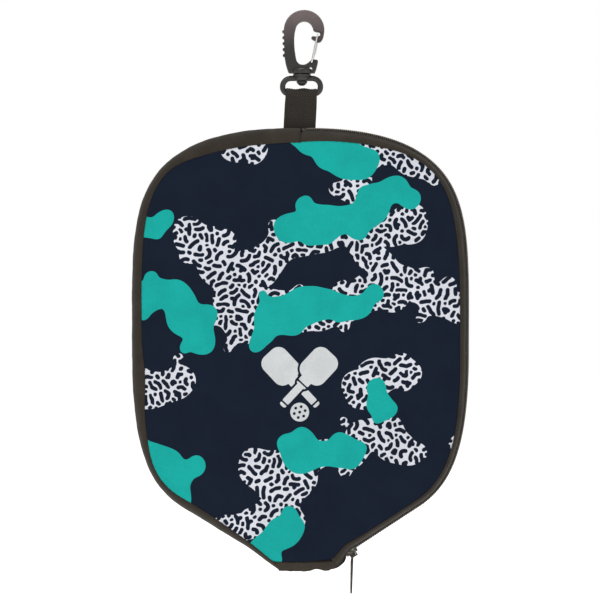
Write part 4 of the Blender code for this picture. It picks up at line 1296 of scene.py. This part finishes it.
# Turned profiles: (radius, z)
COLLAR = (
    (2.4, 183.3), (3.9, 183.3), (4.3, 183.5), (4.6, 184.0), (4.9, 185.2), (5.6, 186.3),
    (6.1, 186.8), (6.2, 187.4), (6.0, 187.9), (5.6, 188.05), (2.7, 188.05), (2.4, 187.8),
)
FOOT = (
    (0.0, 188.35), (5.8, 188.35), (6.2, 188.55), (6.35, 189.0), (6.35, 190.9),
    (6.2, 191.4), (5.7, 191.75), (4.6, 191.9), (0.0, 191.95),
)
STEM = (
    (0.0, 180.2), (1.5, 180.3), (2.3, 180.8), (3.3, 181.9), (3.75, 182.6), (3.7, 183.0),
    (2.1, 183.1), (2.1, 189.0), (0.0, 189.0),
)

collar = lathe("ring_collar", COLLAR, SWIVEL_AXIS, HOOK)
declare(collar, "hook_plastic", "ring")


# ---------------------------------------------------------------------------
# Hook
# ---------------------------------------------------------------------------
HOOK_HALF = 2.6
BOW_CENTRE, BOW_R = (2.5, 218.05), 13.85
CREASE_IN, CREASE_OUT = (8.5, 219.3), (15.9, 215.6)

# Anticlockwise from the foot on the gate side, as (x, z).
HOOK_OUTLINE = [
    (9.7, 188.6), (10.7, 191.0), (11.8, 195.2),
    *arc((10.7, 196.7), 1.3, -10, 75, 6),
    (8.6, 198.2), (7.2, 197.6), (5.8, 196.4), (4.6, 195.4), (3.2, 194.75), (1.6, 194.5),
    (-0.2, 194.8), (-1.6, 195.7), (-2.6, 197.1), (-3.2, 199.8), (-3.9, 204.5),
    (-4.2, 209.0), (-4.2, 213.0), (-3.9, 216.2),
    *arc((2.6, 218.1), 5.9, 172, 24, 20),
    CREASE_IN, CREASE_OUT,
    *arc(BOW_CENTRE, BOW_R, -6, 180, 40),
    (-11.3, 214.0), (-11.2, 209.0), (-11.05, 204.0), (-10.95, 200.6), (-10.7, 198.6),
    (-10.1, 195.2), (-9.1, 191.6), (-8.4, 189.6), (-7.9, 188.9), (-7.2, 188.6),
]
# The nose is a thinner tongue of its own, as (x, z).
NOSE_OUTLINE = [
    (8.2, 220.6), CREASE_IN, (8.7, 217.9), (9.4, 217.2), (10.6, 216.75), (11.9, 216.55),
    *arc((12.25, 215.3), 1.25, 75, -85, 8),
    (11.2, 213.6), (9.6, 213.95),
    *arc((8.7, 212.75), 1.3, 80, 240, 9),
    (9.4, 210.9), (10.9, 209.9), (12.4, 209.5), (13.7, 209.9), (14.8, 211.2), (15.7, 213.3),
    *arc(BOW_CENTRE, BOW_R - 0.05, -13, 2, 6),
    (13.4, 219.6),
]


def hook_plate(name, outline, half, bevel, *replaced, resolution=4, holes=()):
    ob = flat_solid(name, outline, half, bevel, HOOK, resolution, holes)
    ob.data.transform(Matrix.Translation((0, HANG_Y * MM, 0)))
    sharpen(ob, 50)
    declare(ob, "hook_plastic", "hook", *replaced)


foot_hole = arc((7.1, 191.9), 0.95, 360, 0, 17)[:-1]
hook_plate("hook_shell", HOOK_OUTLINE, HOOK_HALF, 0.95, "hook_body", holes=[foot_hole])

for k in range(5):
    x, z = -11.05 + 0.1 * k, 217.1 - 4.05 * k
    corners = [(x - 1.4, z - 0.85), (x + 1.2, z - 1.5), (x + 1.2, z + 1.3), (x - 1.4, z + 0.75)]
    outline = rounded(corners, [0.75, 0.3, 0.3, 0.7], 5)
    hook_plate("hook_grip_rib_%d" % (k + 1), outline, 2.3, 0.28, resolution=3)

hook_plate("hook_nose_tongue", NOSE_OUTLINE, 1.5, 0.45)

foot = lathe("hook_swivel_foot", FOOT, SWIVEL_AXIS, HOOK)
# Widened along X about the swivel's axis.
WIDEN = 1.08
recentre = Matrix.Translation((SWIVEL_AXIS[0] * MM * (1 - WIDEN), 0, 0))
foot.data.transform(recentre @ Matrix.Diagonal((WIDEN, 1, 1, 1)))
declare(foot, "hook_plastic", "hook")

stem = lathe("hook_swivel_stem", STEM, SWIVEL_AXIS, HOOK)
declare(stem, "hook_plastic", "hook")


# ---------------------------------------------------------------------------
# Zip pull and slider bridge
# ---------------------------------------------------------------------------
# Slider axes: up the zip, and straight out from the edge.
ZIP_UP = unit(np.array(HIP) - np.array(ZIP_NECK))
ZIP_OUT = np.array((ZIP_UP[1], -ZIP_UP[0]))
PULL_X, PULL_Z = SLIDER_AT - 0.7 * ZIP_UP + 2.7 * ZIP_OUT
PULL_AT = np.array((PULL_X, MID_Y, PULL_Z))
PULL_LENGTH = 26.2


def pull_tab():
    """A plate seen edge-on from the front, with a slot near each end."""
    ob = flat_solid(
        "zip_pull_tab",
        rounded_box(2.9, 0.5, -PULL_LENGTH, [0.45, 0.45, 2.2, 2.2], 6),
        0.65,
        0.22,
        ZINC,
        holes=[
            rounded_box(1.5, -0.5, -4.2, [0.4] * 4, 4)[::-1],
            rounded_box(1.2, 7.0 - PULL_LENGTH, 2.4 - PULL_LENGTH, [1.0] * 4, 5)[::-1],
        ],
    )
    turn = Matrix.Rotation(math.radians(90), 4, "Z")
    ob.data.transform(Matrix.Translation(Vector(PULL_AT * MM)) @ turn)
    # Step the plate towards -X just below its top.
    places = np.array([v.co[:] for v in ob.data.vertices])
    places[:, 0] -= 0.9 * MM * ease((PULL_AT[2] - places[:, 2] / MM - 1.0) / 5.0)
    ob.data.vertices.foreach_set("co", places.ravel().astype(np.float32))
    sharpen(ob, 40)
    declare(ob, "zip_metal", "pull_swing", "zip_pull")


def pull_eye(where, sign):
    """Round cheek on one side of the tab, where it turns on the bridge."""
    profile = [(0.0, -0.62), (1.25, -0.62), (1.45, -0.45), (1.45, 0.45), (1.25, 0.62), (0.0, 0.62)]
    ob = lathe("zip_pull_eye_" + where, profile, (0, 0), ZINC, 28)
    place = Matrix.Translation(Vector((PULL_AT + (0, sign * 2.25, 0)) * MM))
    ob.data.transform(place @ Matrix.Rotation(math.radians(90), 4, "X"))
    sharpen(ob, 40)
    declare(ob, "zip_metal", "pull_swing")


def bridge_web():
    """Web inside the slider's bridge, behind the pull's bar."""
    half = 0.75
    angle = np.linspace(0, 2 * math.pi, 17)[:-1, None]
    rows = []
    for y in np.linspace(-half, half, 5):
        size = 1.0 - 0.25 * (abs(y) / half) ** 3
        up, out = 0.55 + 1.15 * size * np.cos(angle), 2.6 + 1.35 * size * np.sin(angle)
        rows.append(lifted(SLIDER_AT + ZIP_UP * up + ZIP_OUT * out, np.full(16, y)))
    ob = tube_grid("zip_slider_bridge_web", np.array(rows), ZINC)
    declare(ob, "zip_metal", "zip_slide")


pull_tab()
pull_eye("front", -1)
pull_eye("back", 1)
bridge_web()


# ---------------------------------------------------------------------------
# Gate
# ---------------------------------------------------------------------------
PIVOT, CROSS = np.array((7.6, 195.7)), np.array((11.55, 214.95))
GATE_HALF = HOOK_HALF + 0.35 + 0.6  # wire line off the hook's middle plane


def gate_leg(sign, bow):
    """One leg of the wire loop from the pivot up to the cross bar."""
    up = unit(CROSS - PIVOT)
    out = np.array((up[1], -up[0]))
    line = [(PIVOT, 1.5), (PIVOT, GATE_HALF - 0.7)]
    for s in np.arange(17) / 16:
        rise = up * (0.5 + s * (np.linalg.norm(CROSS - PIVOT) - 1.1))
        line.append((PIVOT + rise + out * bow * math.sin(math.pi * s), GATE_HALF))
    line += [(CROSS - up * 0.2, GATE_HALF - 0.25), (CROSS, GATE_HALF - 0.8)]
    return [(x, HANG_Y + sign * y, z) for (x, z), y in line]


gate_line = gate_leg(-1, 0.0) + gate_leg(1, 1.1)[::-1]
gate = curve_tube("gate_wire_loop", gate_line, 0.58, STEEL, False, 5)
declare(gate, "gate_wire", "gate", "hook_gate")


# ---------------------------------------------------------------------------
# Stage, lights and camera, in metres
# ---------------------------------------------------------------------------
floor_nodes = Nodes("floor_white")
floor_nodes.finish((0.9, 0.9, 0.9, 1), roughness=0.9, specular=0.1)
floor_nodes.shader.inputs["Emission Color"].default_value = (1, 1, 1, 1)
floor_nodes.shader.inputs["Emission Strength"].default_value = 0.50
bpy.ops.mesh.primitive_circle_add(
    vertices=96, radius=6.0, fill_type="NGON", location=(0, 0, -0.215)
)
floor = bpy.context.object
floor.name = "floor"
floor.data.materials.append(floor_nodes.material)
floor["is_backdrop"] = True


def build_world():
    """White surroundings, brighter to the camera than to the objects."""
    world = bpy.data.worlds.new("studio")
    SCENE.world = world
    world.use_nodes = True
    nodes, links = world.node_tree.nodes, world.node_tree.links
    lighting = nodes["Background"]
    rays = nodes.new("ShaderNodeLightPath")
    mixer = nodes.new("ShaderNodeMixShader")
    backdrop = nodes.new("ShaderNodeBackground")
    for node, strength in ((lighting, 0.6), (backdrop, 1.0)):
        node.inputs[0].default_value = (1, 1, 1, 1)
        node.inputs[1].default_value = strength
    links.new(rays.outputs["Is Camera Ray"], mixer.inputs[0])
    links.new(lighting.outputs[0], mixer.inputs[1])
    links.new(backdrop.outputs[0], mixer.inputs[2])
    links.new(mixer.outputs[0], nodes["World Output"].inputs[0])


def area_light(name, location, target, size, power):
    light = bpy.data.lights.new(name, "AREA")
    light.shape = "DISK"
    light.size = size
    light.energy = power
    ob = bpy.data.objects.new(name, light)
    SCENE.collection.objects.link(ob)
    ob.location = location
    aim = Vector(target) - Vector(location)
    ob.rotation_euler = aim.to_track_quat("-Z", "Y").to_euler()


def build_camera():
    """Long lens looking along +Y, set back so the frame is view_width across at MID_Y."""
    lens, sensor, view_width = 135, 36, 0.408
    data = bpy.data.cameras.new("studio_camera")
    camera = bpy.data.objects.new("studio_camera", data)
    SCENE.collection.objects.link(camera)
    data.lens = lens
    data.sensor_width = sensor
    data.clip_end = 50
    camera.location = (-0.0003, MID_Y * MM - view_width * lens / sensor, 0.034)
    camera.rotation_euler = (math.radians(90), 0, 0)
    SCENE.camera = camera


build_world()
area_light("key", location=(-0.9, -1.5, 1.5), target=(0, 0, 0), size=0.9, power=10)
area_light("fill", location=(1.3, -1.2, 0.4), target=(0, 0, 0), size=1.1, power=2.5)
area_light("rim", location=(0.2, 1.5, 1.2), target=(0, 0, 0), size=1.0, power=6)
area_light("top", location=(-0.1, -0.15, 1.5), target=(0, 0, 0.1), size=0.6, power=6)
build_camera()

bpy.context.view_layer.update()
SIZE_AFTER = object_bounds()


def plain(value):
    """A value in types that JSON can hold."""
    if isinstance(value, dict):
        return {k: plain(x) for k, x in value.items()}
    if isinstance(value, (str, bool)) or value is None:
        return value
    try:
        return [plain(x) for x in value]
    except TypeError:  # a single number
        return float(value)


{"before": plain(SIZE_BEFORE), "after": plain(SIZE_AFTER)}
